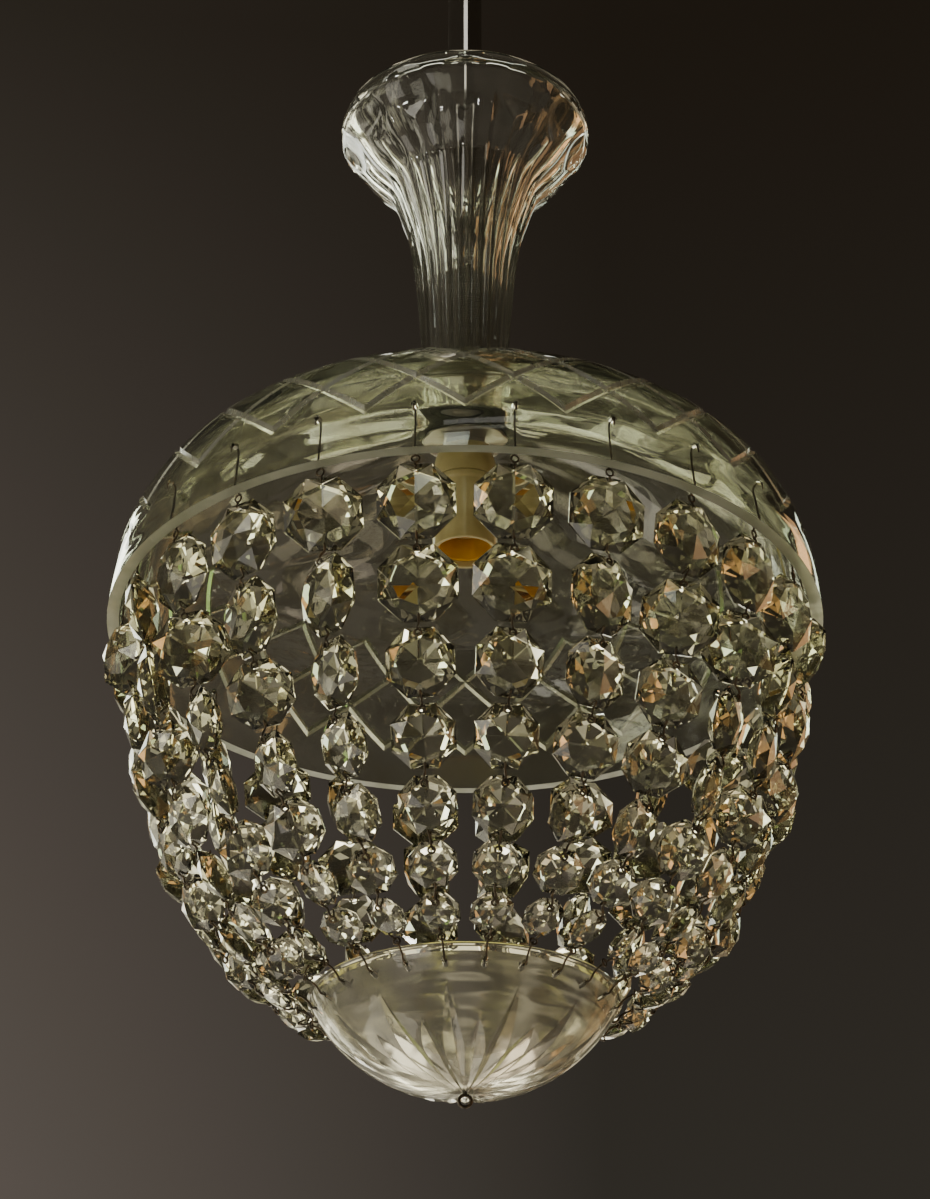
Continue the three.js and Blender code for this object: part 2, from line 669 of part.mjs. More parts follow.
class Strand {
  constructor(azimuth) {
    this.azimuth = azimuth;
    this.points = [];
    this.triangles = [];
    this.ring = null;
  }

  add(point) {
    this.points.push(point);
    return this.points.length - 1;
  }

  face(a, b, c) {
    this.triangles.push(a, b, c);
  }

  // The point at radius r and height z above the dish rim, and side across the strand's plane
  at(r, side, z) {
    const point = around(r, this.azimuth, z + dishRim);
    point.x += side * Math.cos(this.azimuth);
    point.y += side * Math.sin(this.azimuth);
    return point;
  }

  apart(a, b) {
    return this.points[a].distanceTo(this.points[b]);
  }

  // Joins the ring that is open above to the next ring of three corners, going down the strand.
  // Each side is split on its shorter diagonal, which keeps a twisted link clear of itself.
  link(corners) {
    if (this.ring === null) {
      this.ring = corners.map((p) => this.add(p));
      this.face(this.ring[0], this.ring[1], this.ring[2]);
      return;
    }
    const above = this.ring;
    const below = matchRing(corners, above.map((i) => this.points[i])).map((p) => this.add(p));
    for (let i = 0; i < 3; i += 1) {
      const j = (i + 1) % 3;
      if (this.apart(above[i], below[j]) <= this.apart(above[j], below[i])) {
        this.face(above[i], below[i], below[j]);
        this.face(above[i], below[j], above[j]);
      } else {
        this.face(above[i], below[i], above[j]);
        this.face(above[j], below[i], below[j]);
      }
    }
    this.ring = below;
  }

  close() {
    this.face(this.ring[0], this.ring[2], this.ring[1]);
  }

  // A bent wire through [radius, height] points
  wire(path) {
    path.forEach(([r, z], i) => {
      const [r0, z0] = path[Math.max(i - 1, 0)];
      const [r1, z1] = path[Math.min(i + 1, path.length - 1)];
      const length = Math.hypot(r1 - r0, z1 - z0);
      const normal = [-(z1 - z0) / length, (r1 - r0) / length];
      const corners = [0, 1, 2].map((corner) => {
        const angle = Math.PI / 2 - corner * 2 * Math.PI / 3;
        const out = WIRE_R * Math.sin(angle);
        return this.at(r + out * normal[0], WIRE_R * Math.cos(angle), z + out * normal[1]);
      });
      this.link(corners);
    });
  }

  // An octagon with flats at its top and foot, a sharp girdle and eight facets on each face. The
  // wire enters at a small three-cornered flat at the top and leaves at one at the foot.
  bead({ size, lean, r, z }, yaw) {
    const half = size / 2;
    const thick = size * BEAD_THICKNESS / 2;
    const corner = half / Math.cos(Math.PI / 8);
    const local = (across, up, front) => {
      const out = front * Math.cos(yaw) - across * Math.sin(yaw);
      const side = front * Math.sin(yaw) + across * Math.cos(yaw);
      return this.at(
        r + up * Math.sin(lean) + out * Math.cos(lean), side,
        z + up * Math.cos(lean) - out * Math.sin(lean));
    };
    const girdle = [];
    for (let i = 0; i < 8; i += 1) {
      const angle = (i + 0.5) * Math.PI / 4;
      girdle.push(this.add(local(corner * Math.cos(angle), corner * Math.sin(angle), 0)));
    }
    const wireFront = PIN_INSET + 1.5 * WIRE_R;
    const wireCorners = (up) => [[WIRE_R, PIN_INSET], [0, wireFront], [-WIRE_R, PIN_INSET]]
      .map(([across, front]) => local(across, up, front));
    const topLip = this.add(local(0, half, PIN_LIP));
    const footLip = this.add(local(0, -half, PIN_LIP));
    this.link(wireCorners(half).reverse());
    this.flat([girdle[1], topLip, girdle[2]], this.ring);
    for (const face of [1, -1]) {
      const apex = this.add(local(0, 0, face * thick));
      for (let i = 0; i < 8; i += 1) {
        const before = girdle[(i + 7) % 8];
        const after = girdle[i];
        const lip = i === 2 ? topLip : footLip;
        const edge = face === 1 && i % 4 === 2 ? [before, lip, after] : [before, after];
        for (let e = 0; e < edge.length - 1; e += 1) this.turn(face, edge[e], edge[e + 1], apex);
      }
    }
    const foot = wireCorners(-half).map((p) => this.add(p));
    this.flatDown([girdle[6], footLip, girdle[5]], foot);
    this.ring = [foot[2], foot[1], foot[0]];
  }

  turn(face, a, b, c) {
    if (face === 1) this.face(a, b, c);
    else this.face(b, a, c);
  }

  // The flat between three outer corners and the three corners of the wire in it
  flat(outer, ring) {
    const inner = this.nearest(outer, ring);
    for (let i = 0; i < 3; i += 1) {
      const j = (i + 1) % 3;
      this.face(outer[i], inner[i], inner[j]);
      this.face(outer[i], inner[j], outer[j]);
    }
  }

  flatDown(outer, ring) {
    const inner = this.nearest(outer, ring);
    for (let i = 0; i < 3; i += 1) {
      const j = (i + 1) % 3;
      this.face(outer[i], inner[j], inner[i]);
      this.face(outer[i], outer[j], inner[j]);
    }
  }

  nearest(outer, ring) {
    return outer.map((o) => ring.reduce((best, i) =>
      (this.apart(i, o) < this.apart(best, o) ? i : best), ring[0]));
  }

  geometry() {
    const geometry = new THREE.BufferGeometry();
    geometry.setAttribute('position', new THREE.Float32BufferAttribute(
      this.points.flatMap((p) => [p.x, p.y, p.z]), 3));
    geometry.setIndex(this.triangles);
    return geometry;
  }
}

// Octagons hang turned by chance on their pins
function beadYaw(k, i) {
  const turn = FRONT_TURNS.has(k) ? FRONT_TURNS.get(k)[i] : BEAD_YAW * Math.sin(2.4 * k + 1.7 * i);
  return THREE.MathUtils.degToRad(turn);
}

// A strand with the wire that holds it in the dish and the hook that holds the bowl. The hanger
// comes from a short tail outside the wall, through the hole, and down along the inside. The
// foot hook goes through its hole in the bowl and turns up behind the rim.
function strand(k) {
  const made = new Strand(strandAzimuth(k));
  const outside = dishHoleOut + WIRE_R + SEAT_GAP;
  const inWall = dishHoleIn - WIRE_R - SEAT_GAP;
  made.wire([
    [outside, DISH_HOLE_H - HANGER_TAIL], [outside, DISH_HOLE_H],
    [inWall, DISH_HOLE_H], [inWall - WIRE_R, DISH_HOLE_H - 2 * WIRE_R],
    [strandTopR + WIRE_R, DISH_HOLE_H / 5],
  ]);
  chain.beads.forEach((bead, i) => made.bead(bead, beadYaw(k, i)));
  const holeZ = bowlHoleZ - dishRim;
  const behindWall = bowlHoleIn - 4 * WIRE_R;
  made.wire([
    [chain.end[0] + 2 * WIRE_R, chain.end[1]], [bowlHoleOut + 3 * WIRE_R, holeZ],
    [behindWall, holeZ], [behindWall - WIRE_R, holeZ + HANGER_TAIL],
  ]);
  made.close();
  return made.geometry();
}

// Height above the bowl's rim of a sphere about the bowl's middle
function sphereHeight(radius, sphere) {
  return bowlSphere - BOWL_DEPTH - Math.sqrt(sphere ** 2 - radius ** 2);
}

// Bowl: a spherical cap with a star of mitre cuts that meet at the pole
function bowl() {
  const segments = 2 * BOWL_RAYS;
  const shares = [0.04, 0.22, 0.46, SHORT_RAY, LONG_RAY, 1];
  const rings = shares.map((share) => {
    const ring = [];
    for (let i = 0; i < segments; i += 1) {
      const azimuth = 2 * Math.PI * i / segments + strandAzimuth(0);
      const onRay = i % 2 === 0;
      const reach = i % 4 === 0 ? LONG_RAY : SHORT_RAY;
      const along = Math.min(share / reach, 1);
      const leaf = onRay && along < 1 ? Math.sin(Math.PI * along ** 0.8) ** 0.7 : 0;
      const radius = BOWL_R * share;
      const height = share === 1 ? 0 : sphereHeight(radius, bowlSphere);
      const slope = radius / bowlSphere;
      const deep = RAY_DEPTH * leaf;
      ring.push(around(
        radius - deep * slope, azimuth, bowlRim + height + deep * Math.sqrt(1 - slope ** 2)));
    }
    return ring;
  });
  const innerR = BOWL_R - BOWL_WALL;
  const hollow = [];
  const innerSteps = 4;
  for (let i = 0; i <= innerSteps; i += 1) {
    const radius = innerR * i / innerSteps;
    hollow.push([radius, bowlRim + sphereHeight(radius, bowlInnerSphere)]);
  }
  hollow.push([innerR, bowlRim + CUT_MARGIN], [0, bowlRim + CUT_MARGIN]);
  const drills = radialDrills(
    BOWL_HOLE_R, bowlHoleZ, (bowlHoleOut + bowlHoleIn) / 2, 4 * BOWL_WALL);
  const poleDrill = disc(POLE_HOLE_R, bowlRim - 2 * BOWL_DEPTH, bowlRim, 8);
  return cut(skinned(rings), [turned(hollow, 16), poleDrill, ...drills]);
}

// Eye at the pole of the bowl: a wire with a loop below and a round head inside
function poleEye() {
  const outside = bowlRim - BOWL_DEPTH;
  const inside = outside + BOWL_WALL + 2 * SEAT_GAP;
  const loopCentre = outside - 2 * SEAT_GAP - POLE_LOOP_R;
  const wire = bar(POLE_WIRE_R, inside - loopCentre - POLE_LOOP_R + 1, 6);
  wire.rotateX(Math.PI / 2);
  wire.translate(0, 0, (inside + 1 + loopCentre + POLE_LOOP_R) / 2);
  const head = disc(2 * POLE_HOLE_R, inside, inside + 1.2, 8);
  const loop = new THREE.TorusGeometry(POLE_LOOP_R, POLE_WIRE_R, 5, 12);
  loop.rotateX(Math.PI / 2);
  loop.translate(0, 0, loopCentre);
  return joined([wire, head, loop]);
}

place('ceiling_plate', ceilingPlate(), STEEL);
place('ceiling_hook', ceilingHook(), STEEL);
place('hanging_ring', ringInPlane(RING_BEND_R, RING_BAR_R, ringCentre, Math.PI / 2), NICKEL);
place('rod_eye', rodEye(), NICKEL);
place('rod', rod(), NICKEL);
place('canopy', canopy(), NICKEL);
place('canopy_collar', collar(), NICKEL);
place('collar_screw', collarScrew(), NICKEL);
place('rod_foot_nut', rodFootNut(), NICKEL);
place('upper_felt', tubeRing(NIPPLE_R + SLIP_FIT, FOOT_FLANGE_R, dishTop, footBase), FELT);
place('threaded_nipple',
  tubeRing(NIPPLE_BORE_R, NIPPLE_R, capTop - NIPPLE_IN_HOLDER, rodFoot + NIPPLE_IN_ROD, 12), BRASS);
place('lower_felt', tubeRing(NIPPLE_R + SLIP_FIT, LOWER_FELT_R, washerTop, dishCeiling), FELT);
place('steel_washer', tubeRing(NIPPLE_R + SLIP_FIT, WASHER_R, nutTop, washerTop), STEEL);
place('lock_nut', lockNut(), STEEL);
place('dish', dish(), GREEN_GLASS);
place('vase', vase(), CLEAR_GLASS);
place('holder_cap', holderCap(), IVORY);
place('holder_body', holderBody(), IVORY);
place('holder_liner', holderLiner(), AMBER);
place('holder_core', holderCore(), CERAMIC);
place('screw_shell', screwShell(), BRASS);
place('centre_contact', centreContact(), BRASS);
for (let k = 0; k < STRANDS; k += 1) {
  place(`strand_${String(k + 1).padStart(2, '0')}`, strand(k), CRYSTAL);
}
place('bowl', bowl(), CLEAR_GLASS);
place('bowl_pole_eye', poleEye(), DARK_WIRE);

export default lamp;
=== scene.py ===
# %% [markdown]
# # A glass basket lamp
# The lamp hangs from a polished rod. A fluted glass vase slips over the rod and stands on a
# domed glass dish. Twenty-four strands of cut octagons hang from holes above the rim of the dish
# and meet in a small star-cut bowl. The CAD parts give every size and every joint. This script
# gives each piece its finished shape and its material, and it lights the lamp as in a studio.

# %% Load the frame
import math

import bmesh
import bpy
from mathutils import Matrix, Vector, geometry


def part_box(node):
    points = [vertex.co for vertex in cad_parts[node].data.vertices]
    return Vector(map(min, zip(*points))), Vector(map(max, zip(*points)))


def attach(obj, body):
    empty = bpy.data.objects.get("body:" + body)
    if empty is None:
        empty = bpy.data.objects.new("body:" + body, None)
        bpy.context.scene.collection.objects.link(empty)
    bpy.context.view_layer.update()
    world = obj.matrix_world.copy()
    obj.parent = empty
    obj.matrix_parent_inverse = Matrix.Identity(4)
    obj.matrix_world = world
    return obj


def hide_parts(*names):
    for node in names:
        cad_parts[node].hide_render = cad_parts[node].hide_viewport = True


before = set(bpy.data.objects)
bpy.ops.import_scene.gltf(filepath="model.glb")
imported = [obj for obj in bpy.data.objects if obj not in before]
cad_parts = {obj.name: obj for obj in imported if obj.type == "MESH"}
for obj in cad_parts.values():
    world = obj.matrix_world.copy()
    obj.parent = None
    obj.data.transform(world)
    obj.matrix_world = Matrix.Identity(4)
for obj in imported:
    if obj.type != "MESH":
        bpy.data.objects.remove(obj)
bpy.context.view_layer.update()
MM = 0.001
TURN = 2 * math.pi
UP = Vector((0, 0, 1))


def new_object(name, data):
    made = bpy.data.objects.new(name, data)
    bpy.context.scene.collection.objects.link(made)
    return made


# %% [markdown]
# ## Where the camera stands
# The lamp is photographed from below, with a long lens. The round rims of the dish, the bowl
# and the vase each show how far they are tipped, and together they fix the camera. The rim of
# the dish is the level that the camera is measured from.

# %% Camera
DISH_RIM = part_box("dish")[0].z
CAMERA_BACK = 1.0151
CAMERA_DROP = 0.5595
CAMERA_TILT = math.radians(29.673)
LENS = 82.58

lens = bpy.data.cameras.new("camera")
lens.lens = LENS
lens.sensor_width = 36
lens.clip_start = 0.01
camera = new_object("camera", lens)
camera.location = (0, -CAMERA_BACK, DISH_RIM - CAMERA_DROP)
camera.rotation_euler = (math.pi / 2 + CAMERA_TILT, 0, 0)
bpy.context.scene.camera = camera
print("camera stands", round(CAMERA_BACK, 3), "m in front of the rod")

# %% [markdown]
# ## Materials
# Everything here is glass, plated metal or old moulded plastic, so almost all of the look comes
# from gloss. Three shader groups are shared: one for the film of dust and wiping marks that
# dulls old glass, one for the fine waves in pressed glass, and one for worn metal.

# %% Helpers for shader nodes
def feed(tree, socket, value):
    """Link a socket to the one that drives it, or set it. A colour comes without its alpha."""
    if isinstance(value, bpy.types.NodeSocket):
        tree.links.new(value, socket)
    else:
        socket.default_value = (*value, 1) if socket.type == "RGBA" else value


def node(tree, kind, inputs=None, **settings):
    made = tree.nodes.new(kind)
    for key, value in settings.items():
        setattr(made, key, value)
    for label, value in (inputs or {}).items():
        feed(tree, made.inputs[label], value)
    return made


def noise(tree, scale, detail, stretch=(1, 1, 1), coordinates="Object"):
    place = node(tree, "ShaderNodeTexCoord").outputs[coordinates]
    mapping = node(tree, "ShaderNodeMapping", {"Vector": place, "Scale": stretch})
    texture = node(tree, "ShaderNodeTexNoise",
                   {"Vector": mapping.outputs["Vector"], "Scale": scale, "Detail": detail})
    return texture.outputs["Fac"]


def spread(tree, value, low, high):
    """A share that goes from 0 at low to 1 at high."""
    mapped = node(tree, "ShaderNodeMapRange", {"Value": value, "From Min": low, "From Max": high})
    return mapped.outputs["Result"]


def mixed(tree, share, low, high, kind="RGBA"):
    mix = node(tree, "ShaderNodeMix", {"Factor": share, "A": low, "B": high}, data_type=kind)
    return mix.outputs["Result"]


def new_group(name, inputs, outputs):
    group = bpy.data.node_groups.new(name, "ShaderNodeTree")
    for side, sockets in (("INPUT", inputs), ("OUTPUT", outputs)):
        for label, kind in sockets.items():
            group.interface.new_socket(label, in_out=side, socket_type="NodeSocket" + kind)
    start = group.nodes.new("NodeGroupInput")
    end = group.nodes.new("NodeGroupOutput")
    return group, start.outputs, end.inputs


# %% [markdown]
# Old glass is never quite clean. The film group mixes a clean and a dulled roughness by soft
# blotches, and gives the tint a slight change from place to place.

# %% Group: film on glass
film, given, result = new_group(
    "film_on_glass",
    {"Tint": "Color", "Film Tint": "Color", "Clean": "Float", "Dulled": "Float", "Scale": "Float"},
    {"Color": "Color", "Roughness": "Float"})
amount = spread(film, noise(film, given["Scale"], detail=4.0), 0.45, 0.75)
feed(film, result["Color"], mixed(film, amount, given["Tint"], given["Film Tint"]))
feed(film, result["Roughness"], mixed(film, amount, given["Clean"], given["Dulled"], "FLOAT"))

# %% [markdown]
# Pressed glass sets with faint waves. They bend what is seen through it, so they go into the
# bump and not into the colour.

# %% Group: waves in pressed glass
waves, given, result = new_group(
    "glass_waves", {"Scale": "Float", "Strength": "Float", "Depth": "Float"}, {"Normal": "Vector"})
ripple = noise(waves, given["Scale"], detail=1.0, stretch=(1, 1, 5.0))
bump = node(waves, "ShaderNodeBump",
            {"Strength": given["Strength"], "Distance": given["Depth"], "Height": ripple})
feed(waves, result["Normal"], bump.outputs["Normal"])

# %% [markdown]
# Plated and painted pieces carry fine lines from polishing and dull patches where hands and
# damp have been. The wear group gives the colour, the roughness and a little bump for both.

# %% Group: wear on metal and plastic
wear, given, result = new_group(
    "surface_wear",
    {"Base": "Color", "Worn": "Color", "Polished": "Float", "Dull": "Float", "Scale": "Float",
     "Lines": "Float"},
    {"Color": "Color", "Roughness": "Float", "Normal": "Vector"})
patch = spread(wear, noise(wear, given["Scale"], detail=5.0), 0.48, 0.72)
lines = noise(wear, 900.0, detail=2.0, stretch=(1, 1, 0.05))
bump = node(wear, "ShaderNodeBump", {"Strength": given["Lines"], "Distance": 0.0001, "Height": lines})
feed(wear, result["Color"], mixed(wear, patch, given["Base"], given["Worn"]))
feed(wear, result["Roughness"], mixed(wear, patch, given["Polished"], given["Dull"], "FLOAT"))
feed(wear, result["Normal"], bump.outputs["Normal"])
print("shader groups:", [group.name for group in bpy.data.node_groups])

# %% [markdown]
# The clear glasses get a colour that deepens with their thickness. Ground and cut glass is rough
# and a little milky. The bowl has a second glass for its inside face, which was only melted
# smooth in the fire and never polished, so the strands behind it show through softly.

# %% Materials from the groups
WAVE_DEPTH = 0.004


def dressed(name, group, given, **settings):
    """A material whose colour, roughness and normal come from a group."""
    material = bpy.data.materials.new(name)
    material.use_nodes = True
    tree = material.node_tree
    shader = tree.nodes["Principled BSDF"]
    skin = node(tree, "ShaderNodeGroup", given, node_tree=group)
    for output in skin.outputs:
        target = "Base Color" if output.name == "Color" else output.name
        feed(tree, shader.inputs[target], output)
    for key, value in settings.items():
        shader.inputs[key.replace("_", " ")].default_value = value
    return material


def glass(name, tint, film_tint, film_scale, dulled, depth_tint, density, haze, ior=1.5, clean=0.0,
          wave=0.0, wave_scale=30.0):
    skin = {"Tint": tint, "Film Tint": film_tint, "Clean": clean, "Dulled": dulled, "Scale": film_scale}
    material = dressed(name, film, skin, Transmission_Weight=1 - haze, IOR=ior)
    tree = material.node_tree
    if wave:
        relief = node(tree, "ShaderNodeGroup",
                      {"Scale": wave_scale, "Strength": wave, "Depth": WAVE_DEPTH}, node_tree=waves)
        feed(tree, tree.nodes["Principled BSDF"].inputs["Normal"], relief.outputs["Normal"])
    body = node(tree, "ShaderNodeVolumeAbsorption", {"Color": depth_tint, "Density": density})
    feed(tree, tree.nodes["Material Output"].inputs["Volume"], body.outputs["Volume"])
    return material


def ground_glass(name, tint, film_tint, roughness, milk):
    skin = {"Tint": tint, "Film Tint": film_tint, "Clean": roughness, "Dulled": roughness + 0.15,
            "Scale": 120.0}
    return dressed(name, film, skin, Transmission_Weight=1 - milk, IOR=1.5)


def solid(name, base, worn, polished, dull, metallic=0.0, scale=60.0, lines=0.1, coat=0.0):
    skin = {"Base": base, "Worn": worn, "Polished": polished, "Dull": dull, "Scale": scale,
            "Lines": lines}
    return dressed(name, wear, skin, Metallic=metallic, Coat_Weight=coat)


CRYSTAL = glass("smoky_crystal", (0.95, 0.94, 0.88), (0.82, 0.78, 0.64), 140.0, dulled=0.05,
                depth_tint=(0.60, 0.59, 0.33), density=41.0, haze=0.01, ior=1.56)
DISH_GLASS = glass("green_edged_glass", (0.94, 0.97, 0.84), (0.80, 0.80, 0.60), 28.0, dulled=0.07,
                   depth_tint=(0.58, 0.66, 0.46), density=3.0, haze=0.018, wave=0.65, wave_scale=8.0)
VASE_GLASS = glass("clear_fluted_glass", (0.94, 0.95, 0.85), (0.78, 0.78, 0.66), 40.0, dulled=0.06,
                   depth_tint=(0.60, 0.68, 0.54), density=6.0, haze=0.015, wave=0.03)
bowl_melt = {"tint": (0.99, 0.96, 0.81), "film_tint": (0.84, 0.80, 0.63), "film_scale": 45.0,
             "depth_tint": (0.60, 0.60, 0.40), "density": 3.0, "ior": 1.52}
BOWL_GLASS = glass("clear_star_glass", dulled=0.10, haze=0.07, wave=0.06, wave_scale=40.0, **bowl_melt)
SOFT_GLASS = glass("fire_polished_inside", clean=0.13, dulled=0.26, haze=0.05, wave=0.3, **bowl_melt)
RIM_GLASS = ground_glass("ground_rim_glass", (0.72, 0.74, 0.52), (0.56, 0.60, 0.38), 0.40, milk=0.35)
CUT_GLASS = ground_glass("matt_cut_glass", (0.82, 0.81, 0.62), (0.66, 0.66, 0.44), 0.22, milk=0.20)
NICKEL = solid("polished_nickel", (0.62, 0.60, 0.56), (0.42, 0.38, 0.32), 0.08, 0.28, metallic=1.0)
STEEL = solid("plain_steel", (0.42, 0.40, 0.38), (0.20, 0.15, 0.10), 0.30, 0.60, metallic=1.0)
BRASS = solid("plain_brass", (0.66, 0.50, 0.22), (0.36, 0.26, 0.13), 0.22, 0.50, metallic=1.0)
WIRE = solid("blackened_wire", (0.075, 0.060, 0.042), (0.20, 0.14, 0.08), 0.30, 0.55, metallic=0.9,
             scale=300.0)
IVORY = solid("aged_ivory_shell", (0.68, 0.57, 0.26), (0.48, 0.37, 0.13), 0.28, 0.50, scale=35.0,
              lines=0.05, coat=0.3)
AMBER = solid("amber_liner", (0.98, 0.57, 0.04), (0.75, 0.34, 0.02), 0.30, 0.50, scale=40.0,
              lines=0.05, coat=0.2)
CERAMIC = solid("ceramic_core", (0.70, 0.66, 0.58), (0.50, 0.46, 0.40), 0.5, 0.8, scale=80.0)
FELT = solid("dark_felt", (0.05, 0.047, 0.04), (0.09, 0.085, 0.07), 0.9, 1.0, scale=400.0, lines=0.5)
print("materials:", len(bpy.data.materials))

# %% [markdown]
# ## Turned pieces
# Most of the metalwork was turned on a lathe, and blown or pressed glass is round too. The
# outline is drawn once, as radius and height in millimetres, and bmesh's spin sweeps it round
# the rod. Drawing rings of vertices by hand would give the same faces with more code, and a
# primitive cylinder could not follow the outline.

# %% Helpers for turned pieces
MERGE = 1e-6


def levels(name):
    """The lowest and the highest level of a CAD piece, in millimetres."""
    low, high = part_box(name)
    return low.z / MM, high.z / MM


def to_mesh(bm, name):
    mesh = bpy.data.meshes.new(name)
    bm.to_mesh(mesh)
    bm.free()
    return mesh


def whole(bm):
    return bm.verts[:] + bm.edges[:] + bm.faces[:]


def spun(outline, steps=96, closed=True):
    bm = bmesh.new()
    verts = [bm.verts.new((r * MM, 0, z * MM)) for r, z in outline]
    pairs = list(zip(verts, verts[1:]))
    if closed:
        pairs.append((verts[-1], verts[0]))
    edges = [bm.edges.new(pair) for pair in pairs]
    bmesh.ops.spin(bm, geom=verts + edges, cent=(0, 0, 0), axis=(0, 0, 1), dvec=(0, 0, 0),
                   angle=TURN, steps=steps, use_merge=True, use_duplicate=False)
    bmesh.ops.remove_doubles(bm, verts=bm.verts, dist=MERGE)
    loose = [edge for edge in bm.edges if not edge.link_faces]
    bmesh.ops.delete(bm, geom=loose, context="EDGES")
    bmesh.ops.recalc_face_normals(bm, faces=bm.faces)
    return bm


def curve_points(start, first, second, end, count):
    corners = [Vector((r, z, 0)) for r, z in (start, first, second, end)]
    return [(p.x, p.y) for p in geometry.interpolate_bezier(*corners, count)]


def finish_mesh(mesh, name, material, body, *nodes):
    piece = new_object(name, mesh)
    mesh.materials.append(material)
    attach(piece, body)
    if nodes:
        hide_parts(*nodes)
    return piece


def finish_piece(bm, name, material, body, *nodes, sharp=30):
    for face in bm.faces:
        face.smooth = True
    for edge in bm.edges:
        edge.smooth = edge.calc_face_angle(0.0) < math.radians(sharp)
    return finish_mesh(to_mesh(bm, name), name, material, body, *nodes)


def soften(piece, width):
    bevel = piece.modifiers.new("soft_edges", "BEVEL")
    bevel.width = width * MM
    bevel.segments = 2
    bevel.limit_method = "ANGLE"
    bevel.harden_normals = False


def thicken(piece, thickness):
    wall = piece.modifiers.new("wall", "SOLIDIFY")
    wall.thickness = thickness * MM
    wall.offset = -1


def turned(name, outline, material, body, *nodes, edge=0.3, steps=72):
    piece = finish_piece(spun(outline, steps), name, material, body, *nodes)
    if edge:
        soften(piece, edge)
    print(name, len(piece.data.polygons), "faces")


def tube(inner, outer, low, high):
    return [(inner, low), (outer, low), (outer, high), (inner, high)]


# %% [markdown]
# Some pieces are drilled: the glass for its wires, the rod and the eye for the flex, the ceiling
# plate for its screws. Round drills are taken away with a Boolean modifier, which is applied at
# once, so that the finished piece keeps no live cut. The blank gets three empty slots, so that
# the faces of the dish keep the number of their glass.

# %% Helpers for drilled holes
MATERIALS_KEPT = 3


def around(azimuth, r, z):
    """The point at that radius and height, with the azimuth counted from the camera's side."""
    return Vector((r * math.sin(azimuth), -r * math.cos(azimuth), z))


def towards(azimuth, radius, height):
    """A place on the wall at that azimuth, with the drill's axis along the radius."""
    spot = Matrix.Translation((around(azimuth, 1, 0) * radius + Vector((0, 0, height))) * MM)
    return spot @ Matrix.Rotation(azimuth, 4, "Z") @ Matrix.Rotation(math.pi / 2, 4, "X")


def drilled(bm, places, hole_radius, reach):
    mesh = to_mesh(bm, "blank")
    for _ in range(MATERIALS_KEPT):
        mesh.materials.append(None)
    blank = new_object("blank", mesh)
    drills_bm = bmesh.new()
    for spot in places:
        bmesh.ops.create_cone(drills_bm, cap_ends=True, segments=16, radius1=hole_radius * MM,
                              radius2=hole_radius * MM, depth=reach * MM, matrix=spot)
    drills = new_object("drills", to_mesh(drills_bm, "drills"))
    cut = blank.modifiers.new("drill", "BOOLEAN")
    cut.operation = "DIFFERENCE"
    cut.solver = "MANIFOLD"
    cut.object = drills
    bpy.context.view_layer.update()
    finished = blank.evaluated_get(bpy.context.evaluated_depsgraph_get())
    done = bmesh.new()
    done.from_mesh(bpy.data.meshes.new_from_object(finished))
    for piece in (blank, drills):
        bpy.data.objects.remove(piece)
    return done


# %% [markdown]
# ## Rod, foot nut and clamp
# The rod is a plated tube. Under the vase it ends in a foot nut that presses the dish against a
# washer and a lock nut inside it, with felt on both sides of the glass.

# %% Rod and clamp
FIT = 0.3
ROD_R = 8.0
ROD_BORE = 6.5
rod_low, rod_high = levels("rod")
FLEX_PORT_R = 3.0
FLEX_PORT_DROP = 6.5
flex_port = [towards(0, ROD_R + 1, rod_high - FLEX_PORT_DROP)]
rod_bm = drilled(spun(tube(ROD_BORE, ROD_R, rod_low, rod_high), 72), flex_port, FLEX_PORT_R, ROD_R)
soften(finish_piece(rod_bm, "polished_rod", NICKEL, "lamp", "rod"), 0.3)

NIPPLE_R = 5.0
NIPPLE_BORE = 3.25
THREAD_PITCH = 1.5
THREAD_DEPTH = 0.35
nipple_low, nipple_high = levels("threaded_nipple")
thread = [(NIPPLE_BORE, nipple_low)]
for step in range(int((nipple_high - nipple_low) / THREAD_PITCH)):
    thread.append((NIPPLE_R - THREAD_DEPTH, nipple_low + step * THREAD_PITCH))
    thread.append((NIPPLE_R, nipple_low + (step + 0.5) * THREAD_PITCH))
thread += [(NIPPLE_R - THREAD_DEPTH, nipple_high), (NIPPLE_BORE, nipple_high)]
turned("nipple_with_thread", thread, BRASS, "lamp", "threaded_nipple", edge=0, steps=32)

NIPPLE_HOLE_R = NIPPLE_R + FIT
FLANGE_R = 13.0
FLANGE_H = 3.0
SLEEVE_R = 10.5
nut_low, nut_high = levels("rod_foot_nut")
nut_step = rod_low - FIT
turned("foot_nut_with_flange",
       [(NIPPLE_HOLE_R, nut_low), (FLANGE_R, nut_low), (FLANGE_R, nut_low + FLANGE_H),
        (SLEEVE_R, nut_low + 2 * FLANGE_H), (SLEEVE_R, nut_high), (ROD_R + FIT, nut_high),
        (ROD_R + FIT, nut_step), (NIPPLE_HOLE_R, nut_step)],
       NICKEL, "lamp", "rod_foot_nut")
LOWER_FELT_R = 17.0
WASHER_R = 19.0
for name, outer, material in (("upper_felt", FLANGE_R, FELT), ("lower_felt", LOWER_FELT_R, FELT),
                              ("steel_washer", WASHER_R, STEEL)):
    turned(name + "_disc", tube(NIPPLE_HOLE_R, outer, *levels(name)), material, "lamp", name)

